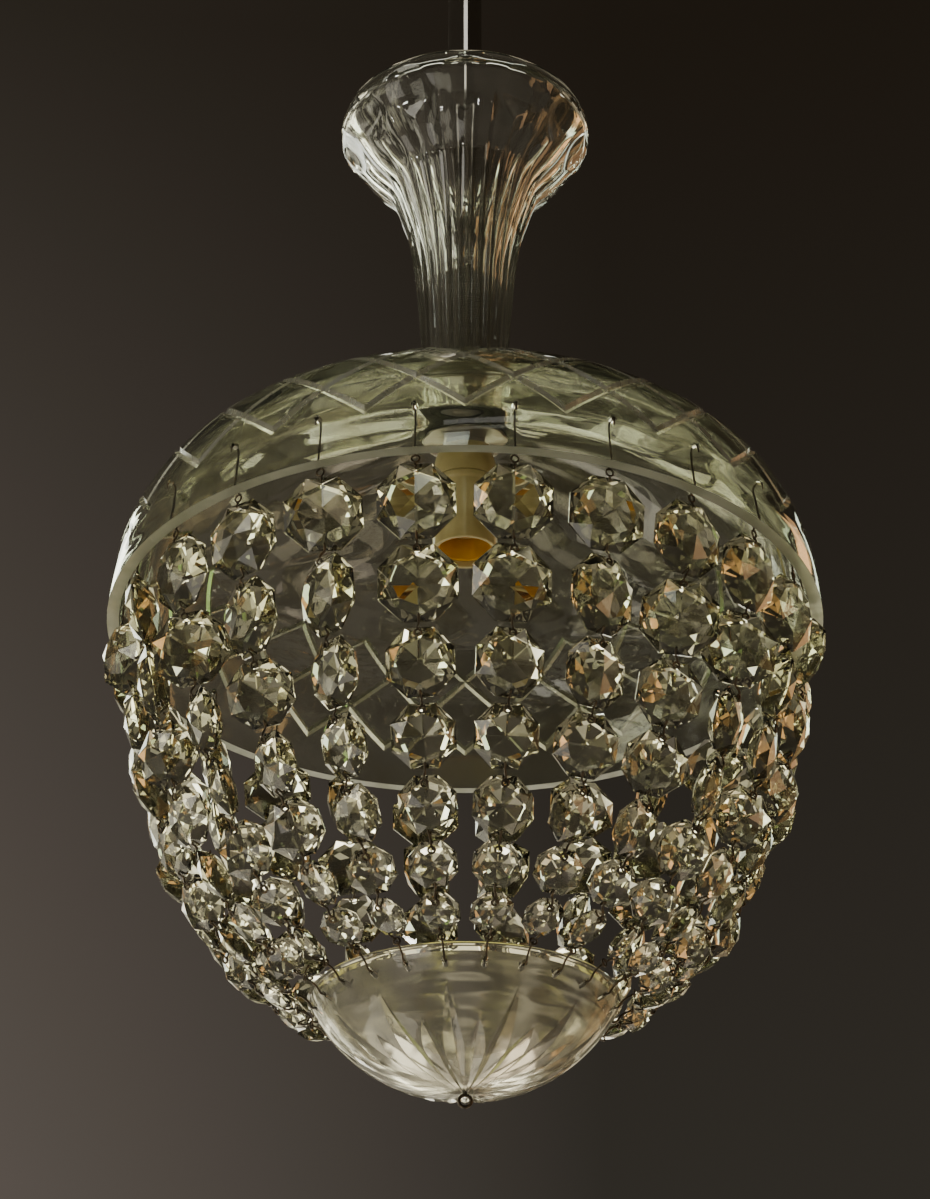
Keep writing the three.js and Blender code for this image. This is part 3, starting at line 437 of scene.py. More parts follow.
NUT_FLATS_R = 8.5
NUT_SECTOR = TURN / 6
bm = spun(tube(NIPPLE_HOLE_R, NUT_FLATS_R, *levels("lock_nut")), 48)
for vert in bm.verts:
    if vert.co.xy.length > NIPPLE_HOLE_R * 1.1 * MM:
        turn = math.atan2(vert.co.y, vert.co.x)
        vert.co.xy /= math.cos((turn + NUT_SECTOR / 2) % NUT_SECTOR - NUT_SECTOR / 2)
soften(finish_piece(bm, "hexagon_lock_nut", STEEL, "lamp", "lock_nut"), 0.5)

# %% [markdown]
# ## Canopy, collar and clamp screw
# The canopy is spun sheet metal, so it is drawn as one line with no thickness and a Solidify
# modifier gives it its sheet. That way the inside follows the outside by itself.

# %% Canopy and collar
SHEET = 1.2
CANOPY_R = 52.0
CANOPY_NECK_R = 13.0
canopy_low, canopy_high = levels("canopy")
canopy_h = canopy_high - canopy_low
bell = curve_points((CANOPY_NECK_R, canopy_low), (CANOPY_R * 0.42, canopy_low + canopy_h * 0.42),
                    (CANOPY_R * 0.96, canopy_low + canopy_h * 0.3),
                    (CANOPY_R - SHEET, canopy_high - 4), 40)
rolled_rim = [(CANOPY_R, canopy_high - 3), (CANOPY_R, canopy_high - 1), (CANOPY_R - SHEET, canopy_high)]
canopy_bm = spun([(ROD_R + 0.4, canopy_low)] + bell + rolled_rim, closed=False)
thicken(finish_piece(canopy_bm, "spun_canopy", NICKEL, "canopy", "canopy"), SHEET)
print("canopy is", round(canopy_h), "mm tall")

COLLAR_R = 13.3
turned("canopy_collar_ring", tube(ROD_R + FIT, COLLAR_R, *levels("canopy_collar")), NICKEL,
       "canopy", "canopy_collar", edge=0.8)

# %% [markdown]
# The clamp screw is spun upright, its head is knurled by pushing in every other face of its rim,
# and then it is laid along X.

# %% Clamp screw
SCREW_R = 2.0
SCREW_HEAD_R = 5.0
SCREW_HEAD_T = 4.0
KNURL_INSET = 0.08
KNURL_DEPTH = 0.3
screw_tip, screw_end = (corner.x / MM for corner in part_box("collar_screw"))
head_face = screw_end - SCREW_HEAD_T
bm = spun([(0, screw_tip), (SCREW_R, screw_tip + 0.5), (SCREW_R, head_face), (SCREW_HEAD_R, head_face),
           (SCREW_HEAD_R, screw_end), (SCREW_HEAD_R - 1, screw_end), (0, screw_end)], 48)
rim_faces = [face for face in bm.faces if abs(face.normal.z) < 0.1 and
             face.calc_center_median().xy.length > 0.95 * SCREW_HEAD_R * MM]
bmesh.ops.inset_individual(bm, faces=rim_faces[::2], thickness=KNURL_INSET * MM,
                           depth=-KNURL_DEPTH * MM)
bmesh.ops.rotate(bm, verts=bm.verts, cent=(0, 0, 0), matrix=Matrix.Rotation(math.pi / 2, 3, "Y"))
bmesh.ops.translate(bm, verts=bm.verts, vec=(0, 0, sum(levels("collar_screw")) / 2 * MM))
finish_piece(bm, "knurled_clamp_screw", NICKEL, "clamp_screw", "collar_screw")

# %% [markdown]
# ## Ceiling plate, hook, ring and eye
# These are out of view in the photograph. The hook and the ring are bent from round bar, so each
# starts as a curve with a round section and is then turned into a mesh.

# %% Helpers for bent wire
def bent(paths, radius, around_steps, resolution=2):
    curve = bpy.data.curves.new("bend", "CURVE")
    curve.dimensions = "3D"
    curve.bevel_depth = radius * MM
    curve.bevel_resolution = around_steps
    curve.use_fill_caps = True
    for points, cyclic in paths:
        spline = curve.splines.new("NURBS")
        spline.points.add(len(points) - 1)
        for point, place in zip(spline.points, points):
            point.co = (place[0] * MM, place[1] * MM, place[2] * MM, 1)
        spline.order_u = 3
        spline.use_cyclic_u = cyclic
        spline.use_endpoint_u = not cyclic
        spline.resolution_u = resolution
        spline.use_smooth = True
    holder = bpy.data.objects.new("bend", curve)
    mesh = bpy.data.meshes.new_from_object(holder)
    bpy.data.objects.remove(holder)
    bpy.data.curves.remove(curve)
    mesh.materials.clear()
    bm = bmesh.new()
    bm.from_mesh(mesh)
    bmesh.ops.remove_doubles(bm, verts=bm.verts, dist=MERGE)
    bmesh.ops.holes_fill(bm, edges=[edge for edge in bm.edges if edge.is_boundary])
    bmesh.ops.recalc_face_normals(bm, faces=bm.faces)
    bm.to_mesh(mesh)
    bm.free()
    return mesh


def loop_points(centre, radius, first, second, count):
    return [centre + radius * (math.cos(TURN * i / count) * first + math.sin(TURN * i / count) * second)
            for i in range(count)]


# %% Plate and hook
PLATE_R = 30.0
PLATE_T = 4.0
BOSS_R = 7.0
PLATE_BORE = 3.3
PLATE_SCREW_X = 21.0
PLATE_SCREW_R = 2.6
plate_low = levels("ceiling_plate")[0]
plate_bm = spun([(PLATE_BORE, plate_low), (BOSS_R, plate_low), (BOSS_R, -PLATE_T - 1),
                 (BOSS_R + 1, -PLATE_T), (PLATE_R - 1, -PLATE_T), (PLATE_R, -PLATE_T + 1),
                 (PLATE_R, 0), (PLATE_BORE, 0)], 72)
screw_places = [Matrix.Translation((side * PLATE_SCREW_X * MM, 0, 0)) for side in (-1, 1)]
plate_bm = drilled(plate_bm, screw_places, PLATE_SCREW_R, 4 * PLATE_T)
soften(finish_piece(plate_bm, "ceiling_plate_disc", STEEL, "ceiling", "ceiling_plate"), 0.3)

HOOK_BAR_R = 3.0
HOOK_BEND_R = 9.0
BEND_START = math.pi / 6
BEND_TURN = 1.24 * math.pi
BEND_STEPS = 12
hook_low, shank_top = levels("ceiling_hook")
hook_centre = hook_low + HOOK_BEND_R + HOOK_BAR_R
hook_path = [Vector((0, 0, shank_top)), Vector((0, 0, plate_low)), Vector((0, 0, plate_low - 2)),
             Vector((HOOK_BEND_R * 0.6, 0, plate_low - 6))]
for step in range(BEND_STEPS + 1):
    angle = BEND_START - step / BEND_STEPS * BEND_TURN
    hook_path.append(Vector((HOOK_BEND_R * math.cos(angle), 0,
                             hook_centre + HOOK_BEND_R * math.sin(angle))))
hook_mesh = bent([(hook_path, False)], HOOK_BAR_R, 5, 4)
finish_mesh(hook_mesh, "bent_ceiling_hook", STEEL, "ceiling", "ceiling_hook")

# %% Ring and eye
RING_BAR_R = 2.25
RING_BEND_R = 11.0
LOOP_STEPS = 32
along_x, along_y = Vector((1, 0, 0)), Vector((0, 1, 0))
ring_centre = Vector((0, 0, sum(levels("hanging_ring")) / 2))
ring_path = loop_points(ring_centre, RING_BEND_R, along_y, UP, LOOP_STEPS)
finish_mesh(bent([(ring_path, True)], RING_BAR_R, 5), "round_hanging_ring", NICKEL, "ring",
            "hanging_ring")

EYE_BAR_R = 2.5
EYE_BEND_R = 9.0
SOCKET_R = 10.7
socket_low, eye_top = levels("rod_eye")
eye_centre = Vector((0, 0, eye_top - EYE_BEND_R - EYE_BAR_R))
eye_path = loop_points(eye_centre, EYE_BEND_R, along_x, UP, LOOP_STEPS)
finish_mesh(bent([(eye_path, True)], EYE_BAR_R, 5), "cast_eye_loop", NICKEL, "lamp")
socket_high = rod_high + FIT
eye_bm = spun([(ROD_R + FIT, socket_low), (SOCKET_R, socket_low), (SOCKET_R, socket_high),
               (SOCKET_R - 4, socket_high + 4), (0, socket_high + 4), (0, socket_high),
               (ROD_R + FIT, socket_high)], 72)
eye_bm = drilled(eye_bm, flex_port, FLEX_PORT_R, ROD_R)
soften(finish_piece(eye_bm, "cast_eye_socket", NICKEL, "lamp", "rod_eye"), 0.3)

# %% [markdown]
# ## Lampholder
# The holder is moulded in an ivory shell: a domed cap over a plain sleeve that is open below,
# where the amber liner shows. Solidify gives the cap its wall.

# %% Lampholder
HOLDER_R = 14.0
HOLDER_WALL = 1.7
BEAD_H = 0.8
LINER_R = 12.0
LINER_WALL = 1.2
CORE_R = 10.5
CORE_BORE_R = 1.6
cap_low, cap_high = levels("holder_cap")
cap_h = cap_high - cap_low
dome = curve_points((HOLDER_R, cap_low), (HOLDER_R, cap_low + cap_h * 0.62),
                    (HOLDER_R * 0.86, cap_high), (NIPPLE_R + 3, cap_high), 24)
cap_bm = spun([(HOLDER_R, cap_low)] + dome[1:] + [(NIPPLE_R + 0.4, cap_high)], 72, closed=False)
cap = finish_piece(cap_bm, "holder_cap_dome", IVORY, "lamp", "holder_cap")
thicken(cap, HOLDER_WALL)
soften(cap, 0.25)

body_low, body_high = levels("holder_body")
turned("holder_sleeve",
       [(HOLDER_R - HOLDER_WALL, body_low), (HOLDER_R, body_low), (HOLDER_R, body_high - 4),
        (HOLDER_R + BEAD_H, body_high - 3), (HOLDER_R + BEAD_H, body_high - 1), (HOLDER_R, body_high),
        (HOLDER_R - HOLDER_WALL, body_high)],
       IVORY, "lamp", "holder_body", edge=0.25)
turned("amber_liner_tube", tube(LINER_R - LINER_WALL, LINER_R, *levels("holder_liner")), AMBER,
       "lamp", "holder_liner", edge=0.2)
turned("ceramic_core_plug", tube(CORE_BORE_R, CORE_R, *levels("holder_core")), CERAMIC, "lamp",
       "holder_core")

# %% [markdown]
# The screw shell is rolled sheet, so its thread is a wave in the wall. The outline steps in and
# out a few times on the way down, which at this size reads as a rolled thread.

# %% Screw shell and contact
SHELL_R = 8.2
SHELL_WALL = 0.6
SHELL_PITCH = 3.6
SHELL_WAVE = 0.35
SHELL_NECK_R = 3.8
SHELL_ROWS = 30
shell_low, shell_high = levels("screw_shell")
shell_line = []
for row in range(SHELL_ROWS + 1):
    height = shell_low + (shell_high - shell_low) * row / SHELL_ROWS
    wave = SHELL_WAVE * (1 - math.cos(TURN * (height - shell_low) / SHELL_PITCH))
    shell_line.append((SHELL_R - wave, height))
shell_bm = spun(shell_line + [(SHELL_NECK_R, shell_high)], 48, closed=False)
shell = finish_piece(shell_bm, "rolled_screw_shell", BRASS, "lamp", "screw_shell", sharp=50)
thicken(shell, SHELL_WALL)

CONTACT_R = 2.6
STEM_R = 1.2
contact_low, contact_high = levels("centre_contact")
turned("domed_centre_contact",
       [(0, contact_low), (1.3, contact_low), (CONTACT_R, contact_low + 1.9),
        (CONTACT_R, contact_high - 4), (STEM_R, contact_high - 4), (STEM_R, contact_high),
        (0, contact_high)],
       BRASS, "lamp", "centre_contact", edge=0.2, steps=32)
print("lampholder is", round(cap_high - body_low), "mm tall")

# %% [markdown]
# ## The dish
# The dish is a thick pressed bowl turned upside down: an upright rim, a round shoulder and a
# gentle dome up to the seat of the vase. Two curves that share a slope give its outline.

# %% Outline of the dish
DISH_R = 150.0
DISH_H = 108.0
DISH_WALL = 5.0
SEAT_R = 23.0
SHOULDER = (121.5, 64.7)
SHOULDER_SLOPE = 0.7
STRANDS = 24
DISH_BORE = NIPPLE_R + 0.6
dish_rim = levels("dish")[0]


def dish_outline(count):
    reach = (DISH_R - SHOULDER[0]) * 0.54
    run = (SHOULDER[0] - SEAT_R) / 3
    wall = curve_points((DISH_R, 0), (DISH_R, SHOULDER[1] * 0.54),
                        (SHOULDER[0] + reach, SHOULDER[1] - reach * SHOULDER_SLOPE), SHOULDER, count)
    dome = curve_points(SHOULDER, (SHOULDER[0] - run, SHOULDER[1] + run * SHOULDER_SLOPE),
                        (SEAT_R + run, DISH_H - (DISH_H - SHOULDER[1]) * 0.14), (SEAT_R, DISH_H), count)
    return wall + dome[1:]


def offset_inwards(points, wall_at):
    moved = []
    for i, (r, z) in enumerate(points):
        r0, z0 = points[max(i - 1, 0)]
        r1, z1 = points[min(i + 1, len(points) - 1)]
        length = math.hypot(r1 - r0, z1 - z0)
        wall = wall_at(i / (len(points) - 1))
        moved.append((r - wall * (z1 - z0) / length, z + wall * (r1 - r0) / length))
    return moved


outline = dish_outline(120)
arcs = [0.0]
for (r0, z0), (r1, z1) in zip(outline, outline[1:]):
    arcs.append(arcs[-1] + math.hypot(r1 - r0, z1 - z0))
print("outline of the dish runs", round(arcs[-1]), "mm")

# %% [markdown]
# The cuts are mitres, V-shaped grooves that cross as a net of diamonds round the wall. One flat
# panel, a twenty-fourth of the dish, holds one period of the net. bisect_plane scores it along
# the middle and both borders of each groove, and the scored middles are then pushed in. The
# panel is bent onto the outline only after that, because straight cuts are easy on a flat sheet.

# %% Panel with mitre cuts
PANEL_HALF = math.pi * DISH_R / STRANDS
NET_LOW = 20.5
NET_STEP = 17.0
MITRE_HALF = 1.7
MITRE_DEPTH = 1.2
PANEL_COLUMNS = 8
PANEL_ROWS = 60

net_slope = NET_STEP / PANEL_HALF
mitres = []
for side in (-1, 1):
    for start in (-1, 1, 0):
        shift = 2 * PANEL_HALF * start
        mitres.append((Vector((shift - side * PANEL_HALF, NET_LOW)),
                       Vector((shift + side * 2 * PANEL_HALF, NET_LOW + 3 * NET_STEP))))


def mitre_depth(spot):
    deepest = 0.0
    for start, end in mitres:
        near, share = geometry.intersect_point_line(spot.to_3d(), start.to_3d(), end.to_3d())
        near = start + (end - start) * min(max(share, 0), 1)
        deepest = max(deepest, 1 - (spot - near).length / MITRE_HALF)
    return MITRE_DEPTH * deepest


def on_outline(arc):
    """Radius and height at that distance along the outline, and the direction out of the glass."""
    i = 1
    while i < len(arcs) - 1 and arcs[i] < arc:
        i += 1
    length = arcs[i] - arcs[i - 1]
    share = (arc - arcs[i - 1]) / length
    (r0, z0), (r1, z1) = outline[i - 1], outline[i]
    return r0 + (r1 - r0) * share, z0 + (z1 - z0) * share, (z1 - z0) / length, -(r1 - r0) / length


dish_bm = bmesh.new()
bmesh.ops.create_grid(dish_bm, x_segments=PANEL_COLUMNS, y_segments=PANEL_ROWS, size=1)
bmesh.ops.scale(dish_bm, verts=dish_bm.verts, vec=(PANEL_HALF, arcs[-1] / 2, 1))
bmesh.ops.translate(dish_bm, verts=dish_bm.verts, vec=(0, arcs[-1] / 2, 0))
for side in (-1, 1):
    across = Vector((-side * net_slope, 1, 0)).normalized()
    for crossing in (NET_LOW + NET_STEP, NET_LOW + 3 * NET_STEP):
        for border in (-MITRE_HALF, 0, MITRE_HALF):
            bmesh.ops.bisect_plane(dish_bm, geom=whole(dish_bm), dist=0.01,
                                   plane_co=Vector((0, crossing, 0)) + across * border, plane_no=across)
bmesh.ops.triangulate(dish_bm, faces=dish_bm.faces)
print("panel has", len(dish_bm.faces), "faces")

# %% [markdown]
# The bent panel is repeated round the dish. A rim and a bore are drawn inwards from its open
# borders, and a smooth inside is spun and joined to them.

# %% Bend the panel and repeat it round the dish
CLEAR = 0
MATT_RIM = 1
MATT_CUT = 2
SEAM = 5e-6
for face in dish_bm.faces:
    face.material_index = MATT_CUT if mitre_depth(face.calc_center_median().xy) > 0.1 else CLEAR
hole_turn = Matrix.Rotation(-math.pi / STRANDS, 3, "Z")
for vert in dish_bm.verts:
    r, z, out_r, out_z = on_outline(vert.co.y)
    depth = mitre_depth(vert.co.xy)
    azimuth = vert.co.x / DISH_R
    r -= depth * out_r
    z -= depth * out_z
    vert.co = hole_turn @ around(azimuth, r, z + dish_rim) * MM
bmesh.ops.spin(dish_bm, geom=whole(dish_bm), cent=(0, 0, 0), axis=(0, 0, 1), dvec=(0, 0, 0),
               angle=TURN * (STRANDS - 1) / STRANDS, steps=STRANDS - 1, use_duplicate=True,
               use_merge=False)
bmesh.ops.remove_doubles(dish_bm, verts=dish_bm.verts, dist=SEAM)

half_way = (dish_rim + DISH_H / 2) * MM
for low, share in ((True, (DISH_R - DISH_WALL) / DISH_R), (False, DISH_BORE / SEAT_R)):
    edges = [edge for edge in dish_bm.edges
             if edge.is_boundary and (edge.verts[0].co.z < half_way) == low]
    grown = bmesh.ops.extrude_edge_only(dish_bm, edges=edges)["geom"]
    lip = [part for part in grown if isinstance(part, bmesh.types.BMVert)]
    bmesh.ops.scale(dish_bm, verts=lip, vec=(share, share, 1))

inside = offset_inwards(dish_outline(24), lambda share: DISH_WALL)
inside[0] = (DISH_R - DISH_WALL, 0)
inside[-1] = (SEAT_R - 1, DISH_H - DISH_WALL)
inside += [(DISH_BORE, DISH_H - DISH_WALL), (DISH_BORE, DISH_H)]
inner_bm = spun([(r, z + dish_rim) for r, z in inside], STRANDS * PANEL_COLUMNS, closed=False)
dish_bm.from_mesh(to_mesh(inner_bm, "inside_of_dish"))
bmesh.ops.remove_doubles(dish_bm, verts=dish_bm.verts, dist=SEAM)
bmesh.ops.recalc_face_normals(dish_bm, faces=dish_bm.faces)
print("dish has", len(dish_bm.faces), "faces,", sum(not e.is_manifold for e in dish_bm.edges), "open edges")

# %% [markdown]
# Each strand hangs from a small drilled hole above the rim. The flat face of the rim was ground
# on a wheel, and the mitres were cut with a fine stone, so both stay matt while the glass
# between them is clear.

# %% Drill the dish
DISH_HOLE_R = 1.3
DISH_HOLE_H = 20.7
strand_azimuths = [(k - 0.5) * TURN / STRANDS for k in range(STRANDS)]
dish_holes = [towards(azimuth, DISH_R - 3, dish_rim + DISH_HOLE_H) for azimuth in strand_azimuths]
dish_bm = drilled(dish_bm, dish_holes, DISH_HOLE_R, 4 * DISH_WALL)
for face in dish_bm.faces:
    if abs(face.calc_center_median().z - dish_rim * MM) < 0.02 * MM:
        face.material_index = MATT_RIM
dish = finish_piece(dish_bm, "mitre_cut_dish", DISH_GLASS, "lamp", "dish", sharp=14)
dish.data.materials.append(RIM_GLASS)
dish.data.materials.append(CUT_GLASS)
matt_faces = sum(face.material_index == MATT_CUT for face in dish.data.polygons)
print("drilled dish has", len(dish.data.polygons), "faces,", matt_faces, "of them matt cuts")

# %% [markdown]
# ## The vase
# The vase is a pressed trumpet. Twenty-four hollow flutes with sharp arrises climb the neck, and
# twelve thumbprints sit under the lip. The smooth trumpet is spun first. Then each outside
# vertex moves in by the depth of the flute or print at its place, as the mould would press it.

# %% Outline of the vase
VASE_H = 165.0
VASE_LIP_R = 57.7
VASE_FOOT_R = 22.0
VASE_NECK_R = 19.6
VASE_BORE = 14.3
LIP_WALL = 3.2
VASE_SHARES = [(0, VASE_FOOT_R), (0.05, VASE_FOOT_R), (0.2, VASE_NECK_R), (0.45, 22.3), (0.6, 25.7),
               (0.7, 30.2), (0.775, 34.8), (0.835, 43.3), (0.895, 50.3), (0.955, VASE_LIP_R),
               (1, VASE_LIP_R - LIP_WALL / 3)]
vase_foot = levels("vase")[0]


def smooth_through(points, count):
    corners = [Vector((r, z, 0)) for r, z in points]
    ends = [corners[0]] + corners + [corners[-1]]
    run = []
    for before, start, end, after in zip(ends, ends[1:], ends[2:], ends[3:]):
        first = start + (end - before) / 6
        second = end - (after - start) / 6
        run += geometry.interpolate_bezier(start, first, second, end, count)[:-1]
    return [(p.x, p.y) for p in run] + [points[-1]]


vase_outside = smooth_through([(r, share * VASE_H) for share, r in VASE_SHARES], 13)
flare = [(r, z) for r, z in vase_outside if z > 0.6 * VASE_H and z < 0.985 * VASE_H]
neck_wall = VASE_NECK_R - VASE_BORE
vase_inside = offset_inwards(flare, lambda share: neck_wall + (LIP_WALL - neck_wall) * share)
vase_line = vase_outside + [(VASE_LIP_R - LIP_WALL, VASE_H - 0.6)] + vase_inside[::-1]
vase_line += [(VASE_BORE, share * VASE_H) for share in (0.5, 0.25, 0)]

# %% Press the flutes and thumbprints
FLUTES = 24
FLUTE_DEPTH = 1.5
PRINTS = 12
PRINT_DEPTH = 2.6
PRINT_MIDDLE = 0.912 * VASE_H
PRINT_HALF_H = 10.5
PRINT_HALF_W = 12.6


def step_between(value, low, high):
    share = min(max((value - low) / (high - low), 0), 1)
    return share * share * (3 - 2 * share)


def flute_depth(azimuth, z):
    across = (azimuth * FLUTES / TURN) % 1 - 0.5
    fade_in = step_between(z, 0.03 * VASE_H, 0.07 * VASE_H)
    fade_out = 1 - step_between(z, 0.88 * VASE_H, 0.96 * VASE_H)
    return FLUTE_DEPTH * (fade_in * fade_out) * (1 - (2 * across) ** 2)


def print_depth(azimuth, z, r):
    across = ((azimuth * PRINTS / TURN + 0.5) % 1 - 0.5) * TURN / PRINTS * r / PRINT_HALF_W
    along = (z - PRINT_MIDDLE) / PRINT_HALF_H
    return PRINT_DEPTH * max(0, 1 - across ** 2 - along ** 2)


vase_bm = spun([(r, z + vase_foot) for r, z in vase_line], 16 * FLUTES)
for vert in vase_bm.verts:
    r = vert.co.xy.length / MM
    z = vert.co.z / MM - vase_foot
    near_r, near_z = min(vase_outside, key=lambda point: abs(point[1] - z))
    if abs(near_r - r) > 0.01 or abs(near_z - z) > 0.01:
        continue
    azimuth = math.atan2(vert.co.x, -vert.co.y) % TURN
    depth = max(flute_depth(azimuth, z), print_depth(azimuth, z, r))
    vert.co.xy *= 1 - depth / r
vase = finish_piece(vase_bm, "fluted_vase", VASE_GLASS, "vase", "vase", sharp=40)
print("vase has", len(vase.data.polygons), "faces")

# %% [markdown]
# ## The bowl at the foot
# The bowl is cut with a star of pointed leaves, long and short in turn, that meet at the pole.
# Each leaf is a groove with a sharp middle line. The columns of a spun cap are drawn together
# so that three of them run along the middle and both borders of each leaf, and the middle one
# is then sunk into the glass.

# %% Outline of the bowl
BOWL_R = 61.9
BOWL_DEPTH = 38.0
BOWL_WALL = 3.4
POLE_BORE = 1.5
ROUND_EDGE = 1.0
BOWL_ROWS = 44
INSIDE_ROWS = 20
COLUMNS_PER_LEAF = 8
bowl_rim = levels("bowl")[1]
cap_sphere = (BOWL_R ** 2 + BOWL_DEPTH ** 2) / (2 * BOWL_DEPTH)
cap_centre = cap_sphere - BOWL_DEPTH
inner_sphere = cap_sphere - BOWL_WALL
inner_edge = math.sqrt(inner_sphere ** 2 - (cap_centre + 2 * ROUND_EDGE) ** 2)


def cap_line(start, end, sphere, rows):
    radii = [start + (end - start) * row / rows for row in range(rows + 1)]
    return [(r, cap_centre - math.sqrt(sphere ** 2 - r ** 2)) for r in radii]


bowl_line = cap_line(POLE_BORE, BOWL_R - ROUND_EDGE, cap_sphere, BOWL_ROWS)
bowl_line += [(BOWL_R, -ROUND_EDGE), (BOWL_R - 0.3, -0.3), (BOWL_R - ROUND_EDGE, 0),
              (BOWL_R - BOWL_WALL + ROUND_EDGE, 0), (BOWL_R - BOWL_WALL + 0.3, -0.3),
              (BOWL_R - BOWL_WALL, -ROUND_EDGE)]
bowl_line += cap_line(inner_edge, POLE_BORE, inner_sphere, INSIDE_ROWS)
bowl_bm = spun([(r, z + bowl_rim) for r, z in bowl_line], STRANDS * COLUMNS_PER_LEAF)

# %% Sink the leaves of the star
LONG_TIP = 0.87 * BOWL_R
SHORT_TIP = 0.69 * BOWL_R
LEAF_MIDDLE = 0.45 * BOWL_R
LEAF_HALF = 4.0
LEAF_SLOPE = 0.62
BORDER_COLUMN = COLUMNS_PER_LEAF / 4


def leaf_half(r, tip):
    sector = math.pi * r / STRANDS
    if r >= tip:
        return 0.0
    taper = 1 - (max(r - LEAF_MIDDLE, 0) / (tip - LEAF_MIDDLE)) ** 2
    return min(0.96 * sector, LEAF_HALF) * taper


for vert in bowl_bm.verts:
    r = vert.co.xy.length / MM
    z = vert.co.z / MM - bowl_rim
    if abs(math.hypot(r, cap_centre - z) - cap_sphere) > 0.02 or r > BOWL_R - 0.5:
        continue
    azimuth = math.atan2(vert.co.x, -vert.co.y) * STRANDS / TURN + 0.5
    leaf = round(azimuth)
    column = round((azimuth - leaf) * COLUMNS_PER_LEAF)
    half = leaf_half(r, LONG_TIP if leaf % 2 == 0 else SHORT_TIP)
    sector = math.pi * r / STRANDS
    border = max(half, 0.04 * sector) if half > 0 else sector / 2
    if abs(column) <= BORDER_COLUMN:
        across = border * abs(column) / BORDER_COLUMN
    else:
        across = border + (sector - border) * (abs(column) / BORDER_COLUMN - 1)
    sunk = LEAF_SLOPE * half * max(0, 1 - across / border)
    turn = (leaf - 0.5) * TURN / STRANDS + math.copysign(across / r, column)
    slope = r / cap_sphere
    r -= sunk * slope
    z += sunk * math.sqrt(1 - slope ** 2)
    vert.co = around(turn, r, z + bowl_rim) * MM

# %% [markdown]
# The holes for the hooks are drilled under the rim, through both faces. The faces that lie on
# the inner sphere then get the softer glass.

# %% Drill the bowl
BOWL_HOLE_DROP = 6.0
BOWL_HOLE_R = 1.2
SOFT_INSIDE = 1
bowl_hole_z = bowl_rim - BOWL_HOLE_DROP
hole_rise = cap_centre + BOWL_HOLE_DROP
hole_out = math.sqrt(cap_sphere ** 2 - hole_rise ** 2)
hole_in = math.sqrt(inner_sphere ** 2 - hole_rise ** 2)
bowl_holes = [towards(azimuth, (hole_out + hole_in) / 2, bowl_hole_z) for azimuth in strand_azimuths]
bowl_bm = drilled(bowl_bm, bowl_holes, BOWL_HOLE_R, 4 * BOWL_WALL)
sphere_centre = Vector((0, 0, bowl_rim + cap_centre)) * MM
for face in bowl_bm.faces:
    inside_by = inner_sphere * MM - (face.calc_center_median() - sphere_centre).length
    face.material_index = SOFT_INSIDE if abs(inside_by) < 0.3 * MM else CLEAR
bowl = finish_piece(bowl_bm, "star_cut_bowl", BOWL_GLASS, "bowl", "bowl", sharp=12)
bowl.data.materials.append(SOFT_GLASS)
print("bowl has", len(bowl.data.polygons), "faces")

# %% [markdown]
# ## The curve of a strand
# A hanging strand is a chain: every octagon leans by how hard the bowl pulls inwards against
# the weight below it. The pull is found by halving until the strand ends at the bowl, as the
# CAD model does it.

# %% Chain curve
BEAD_SIZES = [30, 30, 26, 24, 22, 18, 16]
LAST = len(BEAD_SIZES) - 1
BEAD_GAP = 2.35
TOP_DROP = 2.9
TOP_INSET = 8.0
BOWL_SHARE = 0.36
HOOK_LENGTH = 8.2
HALVINGS = 60


def hang(pull, start_r):
    weights = [(size / BEAD_SIZES[0]) ** 3 for size in BEAD_SIZES]
    load = sum(weights) + BOWL_SHARE
    r, z = start_r, -TOP_DROP
    places = []
    for i, size in enumerate(BEAD_SIZES):
        below = load - weights[i]
        lean = math.atan2(pull, (load + below) / 2)
        places.append((size, lean, r - size / 2 * math.sin(lean), z - size / 2 * math.cos(lean)))
        link_lean = math.atan2(pull, below)
        run = BEAD_GAP if i < LAST else HOOK_LENGTH
        r -= size * math.sin(lean) + run * math.sin(link_lean)
        z -= size * math.cos(lean) + run * math.cos(link_lean)
        load = below
    return places, (r, z)


low_pull, high_pull = 0.0, 4.0
for _ in range(HALVINGS):
    pull = (low_pull + high_pull) / 2
    if hang(pull, DISH_R - TOP_INSET)[1][0] > BOWL_R:
        low_pull = pull
    else:
        high_pull = pull
beads, chain_end = hang(pull, DISH_R - TOP_INSET)
print("a strand ends at radius", round(chain_end[0], 1), "and", round(-chain_end[1], 1), "mm below the rim")

# %% [markdown]
# ## One octagon
# A cut octagon has two equal faces. On each, eight low facets meet at a point in the middle and
# sixteen steeper ones run from them to the girdle. The face starts as a fan of eight triangles.
# Poking each triangle gives the ring of points round the middle facets, and turning the spokes
# joins those points to each other.

# %% Octagon
HALF_THICKNESS = 0.22
GIRDLE = 0.8
RING_SHARE = 0.62
RING_RISE = 0.72


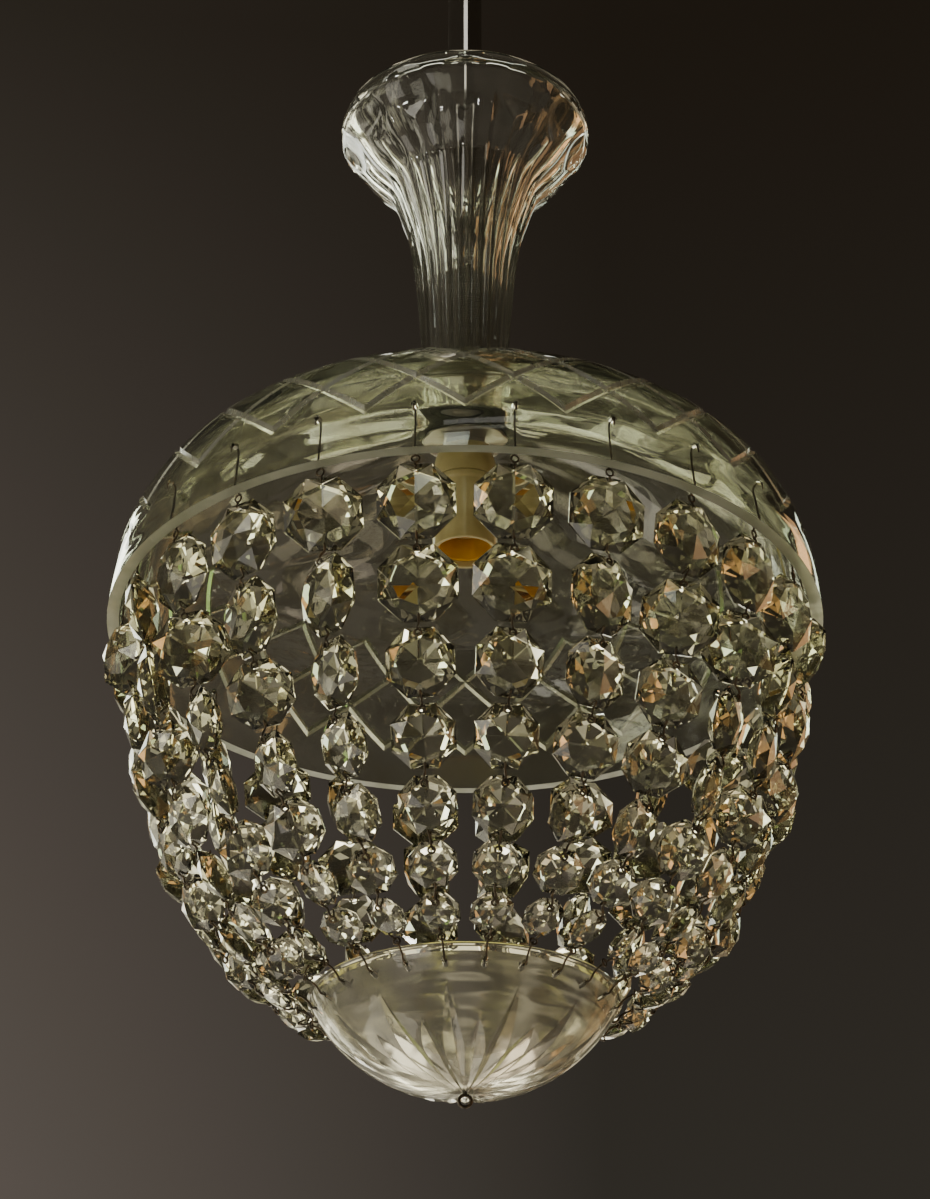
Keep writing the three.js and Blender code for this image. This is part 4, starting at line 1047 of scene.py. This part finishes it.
def octagon(size):
    bm = bmesh.new()
    corner = size / 2 / math.cos(math.pi / 8)
    bmesh.ops.create_circle(bm, cap_ends=True, cap_tris=True, segments=8, radius=corner)
    bmesh.ops.rotate(bm, verts=bm.verts, cent=(0, 0, 0), matrix=Matrix.Rotation(math.pi / 8, 3, "Z"))
    middle = min(bm.verts, key=lambda vert: vert.co.length)
    spokes = list(middle.link_edges)
    ring = bmesh.ops.poke(bm, faces=bm.faces[:])["verts"]
    bmesh.ops.rotate_edges(bm, edges=spokes)
    high = size * HALF_THICKNESS - GIRDLE / 2
    for vert in ring:
        vert.co = vert.co.normalized() * RING_SHARE * corner
        vert.co.z = high * RING_RISE
    middle.co.z = high
    bmesh.ops.translate(bm, verts=bm.verts, vec=(0, 0, GIRDLE / 2))
    back = bmesh.ops.duplicate(bm, geom=whole(bm))["geom"]
    back_verts = [part for part in back if isinstance(part, bmesh.types.BMVert)]
    bmesh.ops.scale(bm, verts=back_verts, vec=(1, 1, -1))
    bmesh.ops.bridge_loops(bm, edges=[edge for edge in bm.edges if edge.is_boundary])
    bmesh.ops.recalc_face_normals(bm, faces=bm.faces)
    return bm


octagons = {size: to_mesh(octagon(size), "octagon_%d" % size) for size in sorted(set(BEAD_SIZES))}
print("an octagon has", len(octagons[30].polygons), "faces")

# %% [markdown]
# ## Wires
# Each octagon is drilled near its upper and lower edge. A bent staple passes through the hole
# and a small round ring in the gap joins it to the staple of the next octagon. The top staple
# hangs from a wire through the dish, and the last one ends in a hook that goes into the bowl.
# The strands that face the camera turn in their pins as in the photograph, in degrees from the
# top octagon down, and the rest turn by chance.

# %% Frames of the octagons
CHANCE_YAW = 42
FRONT_TURNS = {22: (4, -11, 23, -16, 20, -12, 10), 23: (20, -27, -28, -26, -20, 14, -15),
               0: (2, 5, -4, 6, -7, 8, -5), 1: (-3, 4, 8, -6, 5, -8, 9),
               2: (-4, 18, 12, -10, 20, -14, 8), 3: (-5, -37, -17, -25, 12, -20, 15)}


def beside(k):
    azimuth = strand_azimuths[k]
    return Vector((math.cos(azimuth), math.sin(azimuth), 0))


def bead_frame(k, i):
    size, lean, r, z = beads[i]
    by_chance = CHANCE_YAW * math.sin(2.4 * k + 1.7 * i)
    yaw = math.radians(FRONT_TURNS[k][i] if k in FRONT_TURNS else by_chance)
    outwards = around(strand_azimuths[k], 1, 0)
    up = math.sin(lean) * outwards + math.cos(lean) * UP
    face = math.cos(lean) * outwards - math.sin(lean) * UP
    across = math.cos(yaw) * beside(k) - math.sin(yaw) * face
    front = math.cos(yaw) * face + math.sin(yaw) * beside(k)
    spot = Matrix((across, up, front)).transposed().to_4x4()
    spot.translation = r * outwards + (z + dish_rim) * UP
    return spot, size


# %% Helpers for the wires of a strand
WIRE_R = 0.42
HOLE_INSET = 2.4
STAPLE_INSET = HOLE_INSET - 0.8
EYE_R = 1.4
HANGER_EYE_R = 1.6
EYE_STEPS = 8


def side_points(k, spots):
    """Points in the plane of a strand, each given as radius and height above the dish's rim."""
    return [around(strand_azimuths[k], r, z + dish_rim) for r, z in spots]


def bead_points(k, i, end, spots):
    """Points near the upper (1) or lower (-1) end of an octagon, each given as the distance in
    from that end and the distance in front of the octagon's middle."""
    spot, size = bead_frame(k, i)
    return [spot @ Vector((0, end * (size / 2 - inset), front)) for inset, front in spots]


def face_at_hole(i):
    size = beads[i][0]
    run = size / 2 - RING_SHARE * size / 2 / math.cos(math.pi / 8)
    rise = (size * HALF_THICKNESS - GIRDLE / 2) * RING_RISE
    return GIRDLE / 2 + rise * HOLE_INSET / run


def pin_below(k, i):
    """The wire from the lower hole of octagon i to the eye on the upper hole of the next one."""
    out = face_at_hole(i)
    out_below = face_at_hole(i + 1)
    eye, in_hole, behind, tail = bead_points(k, i + 1, 1, [
        (HOLE_INSET, out_below + WIRE_R), (HOLE_INSET, 0), (HOLE_INSET, -out_below - WIRE_R),
        (HOLE_INSET - 1, -out_below - WIRE_R)])
    axes = bead_frame(k, i + 1)[0].col
    across, along = axes[0].to_3d(), axes[1].to_3d()
    pin = bead_points(k, i, -1, [
        (HOLE_INSET - 0.6, -out - WIRE_R), (HOLE_INSET, -out), (HOLE_INSET, out),
        (STAPLE_INSET, out + WIRE_R), (-0.6, 0.9)])
    pin += [eye + along * (EYE_R + 1.2), eye + along * EYE_R]
    through = [eye + across * EYE_R * 0.5, in_hole, behind, tail]
    return [(pin, False), (through, False), (loop_points(eye, EYE_R, across, along, EYE_STEPS), True)]


# %% [markdown]
# The hanger shows a short tail outside the wall. It goes through the hole and down inside the
# wall to a round eye under the rim, and a straight pin joins the eye to the top octagon. At the
# foot a hook leaves a small eye, runs down outside the bowl's rim and turns in through its hole.

# %% Hanger and hook
dish_out = DISH_R * 0.984 + 0.2
dish_in = dish_out - DISH_WALL


def hanger(k):
    eye = side_points(k, [(DISH_R - DISH_WALL - 1.6, -1.2)])[0]
    out = face_at_hole(0)
    wire = side_points(k, [
        (dish_out + 0.7, DISH_HOLE_H - 3.4), (dish_out + 0.8, DISH_HOLE_H - 0.2),
        (dish_out, DISH_HOLE_H), (dish_in, DISH_HOLE_H), (dish_in - 0.9, DISH_HOLE_H - 0.6),
        (dish_in - 1.1, DISH_HOLE_H - 4), (DISH_R - DISH_WALL - 1.5, 3)])
    wire.append(eye + HANGER_EYE_R * UP)
    pin = [eye - HANGER_EYE_R * UP] + bead_points(k, 0, 1, [
        (-0.4, 0.8), (STAPLE_INSET, out + WIRE_R), (HOLE_INSET, out), (HOLE_INSET, -out),
        (STAPLE_INSET, -out - WIRE_R)])
    ring = loop_points(eye, HANGER_EYE_R, beside(k), UP, EYE_STEPS)
    return [(wire, False), (pin, False), (ring, True)]


def bowl_hook(k):
    out = face_at_hole(LAST)
    eye = bead_points(k, LAST, -1, [(-EYE_R - 1.6, 0)])[0]
    hole_z = bowl_hole_z - dish_rim
    pin = bead_points(k, LAST, -1, [(HOLE_INSET, -out), (HOLE_INSET, out),
                                    (STAPLE_INSET, out + WIRE_R), (-1.6, 0.3)])
    wire = [eye] + side_points(k, [
        (BOWL_R + 1.2, chain_end[1] + 1), (hole_out + 2.2, hole_z + 1.5), (hole_out + 1.6, hole_z),
        (hole_out, hole_z - 0.1), (hole_in, hole_z), (hole_in - 1, hole_z + 0.4),
        (hole_in - 1.6, hole_z + 2.4)])
    return [(pin, False), (wire, False), (loop_points(eye, EYE_R, beside(k), UP, EYE_STEPS), True)]


# %% Strands
for k in range(STRANDS):
    number = "%02d" % (k + 1)
    body = "strand_" + number + "_body"
    strand_bm = bmesh.new()
    wires = hanger(k) + bowl_hook(k)
    for i in range(len(BEAD_SIZES)):
        spot, size = bead_frame(k, i)
        copy = octagons[size].copy()
        copy.transform(spot)
        strand_bm.from_mesh(copy)
        bpy.data.meshes.remove(copy)
        if i < LAST:
            wires += pin_below(k, i)
    bmesh.ops.scale(strand_bm, verts=strand_bm.verts, vec=(MM, MM, MM))
    mesh = to_mesh(strand_bm, "octagons")
    finish_mesh(mesh, "octagons_" + number, CRYSTAL, body, "strand_" + number)
    finish_mesh(bent(wires, WIRE_R, 1), "wires_" + number, WIRE, body)
print("strands:", STRANDS, "octagons:", STRANDS * len(BEAD_SIZES))

# %% [markdown]
# The eye at the bowl's pole is a round loop on a short pin with a flat head inside the bowl.

# %% Eye at the pole
POLE_LOOP_R = 2.4
POLE_WIRE_R = 0.7
HEAD_R = 3.0
HEAD_STEP = 0.6
bowl_low = bowl_rim - BOWL_DEPTH
loop_centre = Vector((0, 0, bowl_low - 0.6 - POLE_LOOP_R))
head = bowl_low + BOWL_WALL + 0.6
pole_loop = loop_points(loop_centre, POLE_LOOP_R, along_x, UP, 16)
pole_pin = [loop_centre + POLE_LOOP_R * UP, Vector((0, 0, bowl_low)), Vector((0, 0, head + HEAD_STEP))]
finish_mesh(bent([(pole_loop, True), (pole_pin, False)], POLE_WIRE_R, 2), "pole_eye_loop", WIRE,
            "bowl", "bowl_pole_eye")
turned("pole_eye_head",
       [(0, head), (HEAD_R, head), (HEAD_R, head + HEAD_STEP), (2.2, head + 2 * HEAD_STEP),
        (0, head + 2 * HEAD_STEP)],
       WIRE, "bowl", edge=0, steps=24)

# %% [markdown]
# ## Room, light and floor
# The photograph has a dark wall behind the lamp. Glass shows whatever stands behind it, so the
# world gives the same dark colour to the camera, to reflections and to light that has passed
# through glass. Soft lamps stand outside the view. The floor is plain and pale, far below.

# %% World
world = bpy.data.worlds.new("room")
world.use_nodes = True
bpy.context.scene.world = world
tree = world.node_tree


def higher(first, second):
    return node(tree, "ShaderNodeMath", {0: first, 1: second}, operation="MAXIMUM").outputs["Value"]


rays = node(tree, "ShaderNodeLightPath").outputs
seen = higher(higher(rays["Is Camera Ray"], rays["Is Glossy Ray"]), rays["Is Transmission Ray"])
direction = node(tree, "ShaderNodeTexCoord").outputs["Generated"]
across, ahead, height = node(tree, "ShaderNodeSeparateXYZ", {"Vector": direction}).outputs

climb = spread(tree, height, 0.30, 0.66)
left_wall = mixed(tree, climb, (0.105, 0.088, 0.074), (0.028, 0.023, 0.017))
right_wall = mixed(tree, climb, (0.034, 0.030, 0.024), (0.016, 0.012, 0.008))
wall_colour = mixed(tree, spread(tree, across, -0.17, 0.05), left_wall, right_wall)

# %% [markdown]
# The rest of the room is only met by rays that the glass bends or throws back. The lamp hangs
# high, so the windows and the lit wall lie below its level, and the upper part and the side
# behind the camera are dark. Light that no glass has passed on meets an even grey.

# %% The rest of the room
patches = spread(tree, noise(tree, 6.0, detail=3.0, coordinates="Generated"), 0.47, 0.60)
low_room = mixed(tree, patches, (0.055, 0.05, 0.033), (1.5, 1.39, 1.0))
left_room = mixed(tree, patches, (0.09, 0.085, 0.06), (3.3, 3.15, 2.45))
right_room = mixed(tree, patches, (0.03, 0.023, 0.013), (0.80, 0.47, 0.19))
high_room = mixed(tree, patches, (0.006, 0.006, 0.003), (0.05, 0.05, 0.025))
low_sides = mixed(tree, spread(tree, across, -0.12, -0.40), low_room, left_room)
low_sides = mixed(tree, spread(tree, across, 0.25, 0.55), low_sides, right_room)
low_sides = mixed(tree, spread(tree, ahead, -0.1, -0.6), low_sides, (0.03, 0.026, 0.02))
room_colour = mixed(tree, spread(tree, height, 0.42, 0.06), wall_colour, low_sides)
room_colour = mixed(tree, spread(tree, height, 0.70, 0.86), room_colour, high_room)

glimpsed = mixed(tree, rays["Is Camera Ray"], room_colour, wall_colour)
room = mixed(tree, seen, (0.22, 0.205, 0.18), glimpsed)
feed(tree, tree.nodes["Background"].inputs["Color"], room)

# %% [markdown]
# Each lamp is named for its place or its task. The lamps behind and below the lamp make the
# upper facets of the octagons bright, because a cut stone shows what lies across from it.

# %% Lamps
MIDDLE = (0, 0, DISH_RIM - 0.05)
FLOOR_Z = -1.5
TABLE_Z = FLOOR_Z + 0.1


def softbox(name, place, width, height, power, colour, aim=MIDDLE):
    light = bpy.data.lights.new(name, "AREA")
    light.shape = "RECTANGLE"
    light.size = width
    light.size_y = height
    light.energy = power
    light.color = colour
    box = new_object(name, light)
    box.location = place
    box.rotation_euler = (Vector(aim) - Vector(place)).to_track_quat("-Z", "Y").to_euler()
    box.visible_camera = False


softbox("small_window_front", (-0.06, -1.9, 0.65), 0.24, 0.26, 0.7, (0.92, 1, 0.88))
softbox("strip_front", (0.15, -1.9, 1.50), 0.8, 0.3, 1.0, (1, 0.97, 0.92), aim=(0, 0, -0.1))
softbox("key_left", (-1.5, -0.9, -0.1), 0.6, 0.9, 8, (1, 0.96, 0.82))
softbox("spark_left", (-0.84, -0.72, -0.62), 0.06, 0.06, 0.9, (1, 0.97, 0.90), aim=(0, 0, -0.25))
softbox("warm_right", (1.5, -0.5, -0.5), 0.25, 0.9, 2.2, (1, 0.58, 0.28))
softbox("back_left", (-0.95, 1.3, 0.08), 0.32, 0.95, 5, (0.97, 1, 0.86))
softbox("back_right", (1.2, 1.1, 0.0), 0.35, 1.1, 1.8, (1, 0.55, 0.25))
softbox("edge_right", (0.85, 1.4, 0.25), 0.14, 0.7, 0.8, (0.88, 1, 0.80))
softbox("back_low", (-0.1, 1.5, -0.80), 1.0, 0.18, 3, (1, 0.96, 0.80))
softbox("back_lowest", (0.1, 1.4, -1.10), 0.8, 0.14, 2.4, (1, 0.94, 0.76))
softbox("high_back", (0, 1.6, 1.9), 0.6, 0.12, 0.6, (1, 0.98, 0.9))
softbox("spark_front", (0.35, -1.5, -1.0), 0.05, 0.05, 0.5, (1, 0.98, 0.92))
softbox("table_left", (-0.65, 0.7, TABLE_Z), 0.6, 1.4, 5, (1, 0.93, 0.74), aim=(-0.65, 0.7, 0))
softbox("table_right", (0.45, 0.8, TABLE_Z), 0.25, 1.2, 1.6, (1, 0.84, 0.62), aim=(0.45, 0.8, 0))
softbox("low_front", (-0.8, -0.9, TABLE_Z), 0.6, 0.6, 2.4, (1, 0.95, 0.84))
print("lamps:", len(bpy.data.lights))

# %% Floor
FLOOR_R = 3.0
floor_bm = bmesh.new()
bmesh.ops.create_circle(floor_bm, cap_ends=True, segments=96, radius=FLOOR_R)
bmesh.ops.translate(floor_bm, verts=floor_bm.verts, vec=(0, 0, FLOOR_Z))
floor = new_object("floor", to_mesh(floor_bm, "floor"))
floor.data.materials.append(solid("pale_floor", (0.62, 0.60, 0.57), (0.55, 0.53, 0.50), 0.7, 0.9,
                                  scale=2.0, lines=0.0))
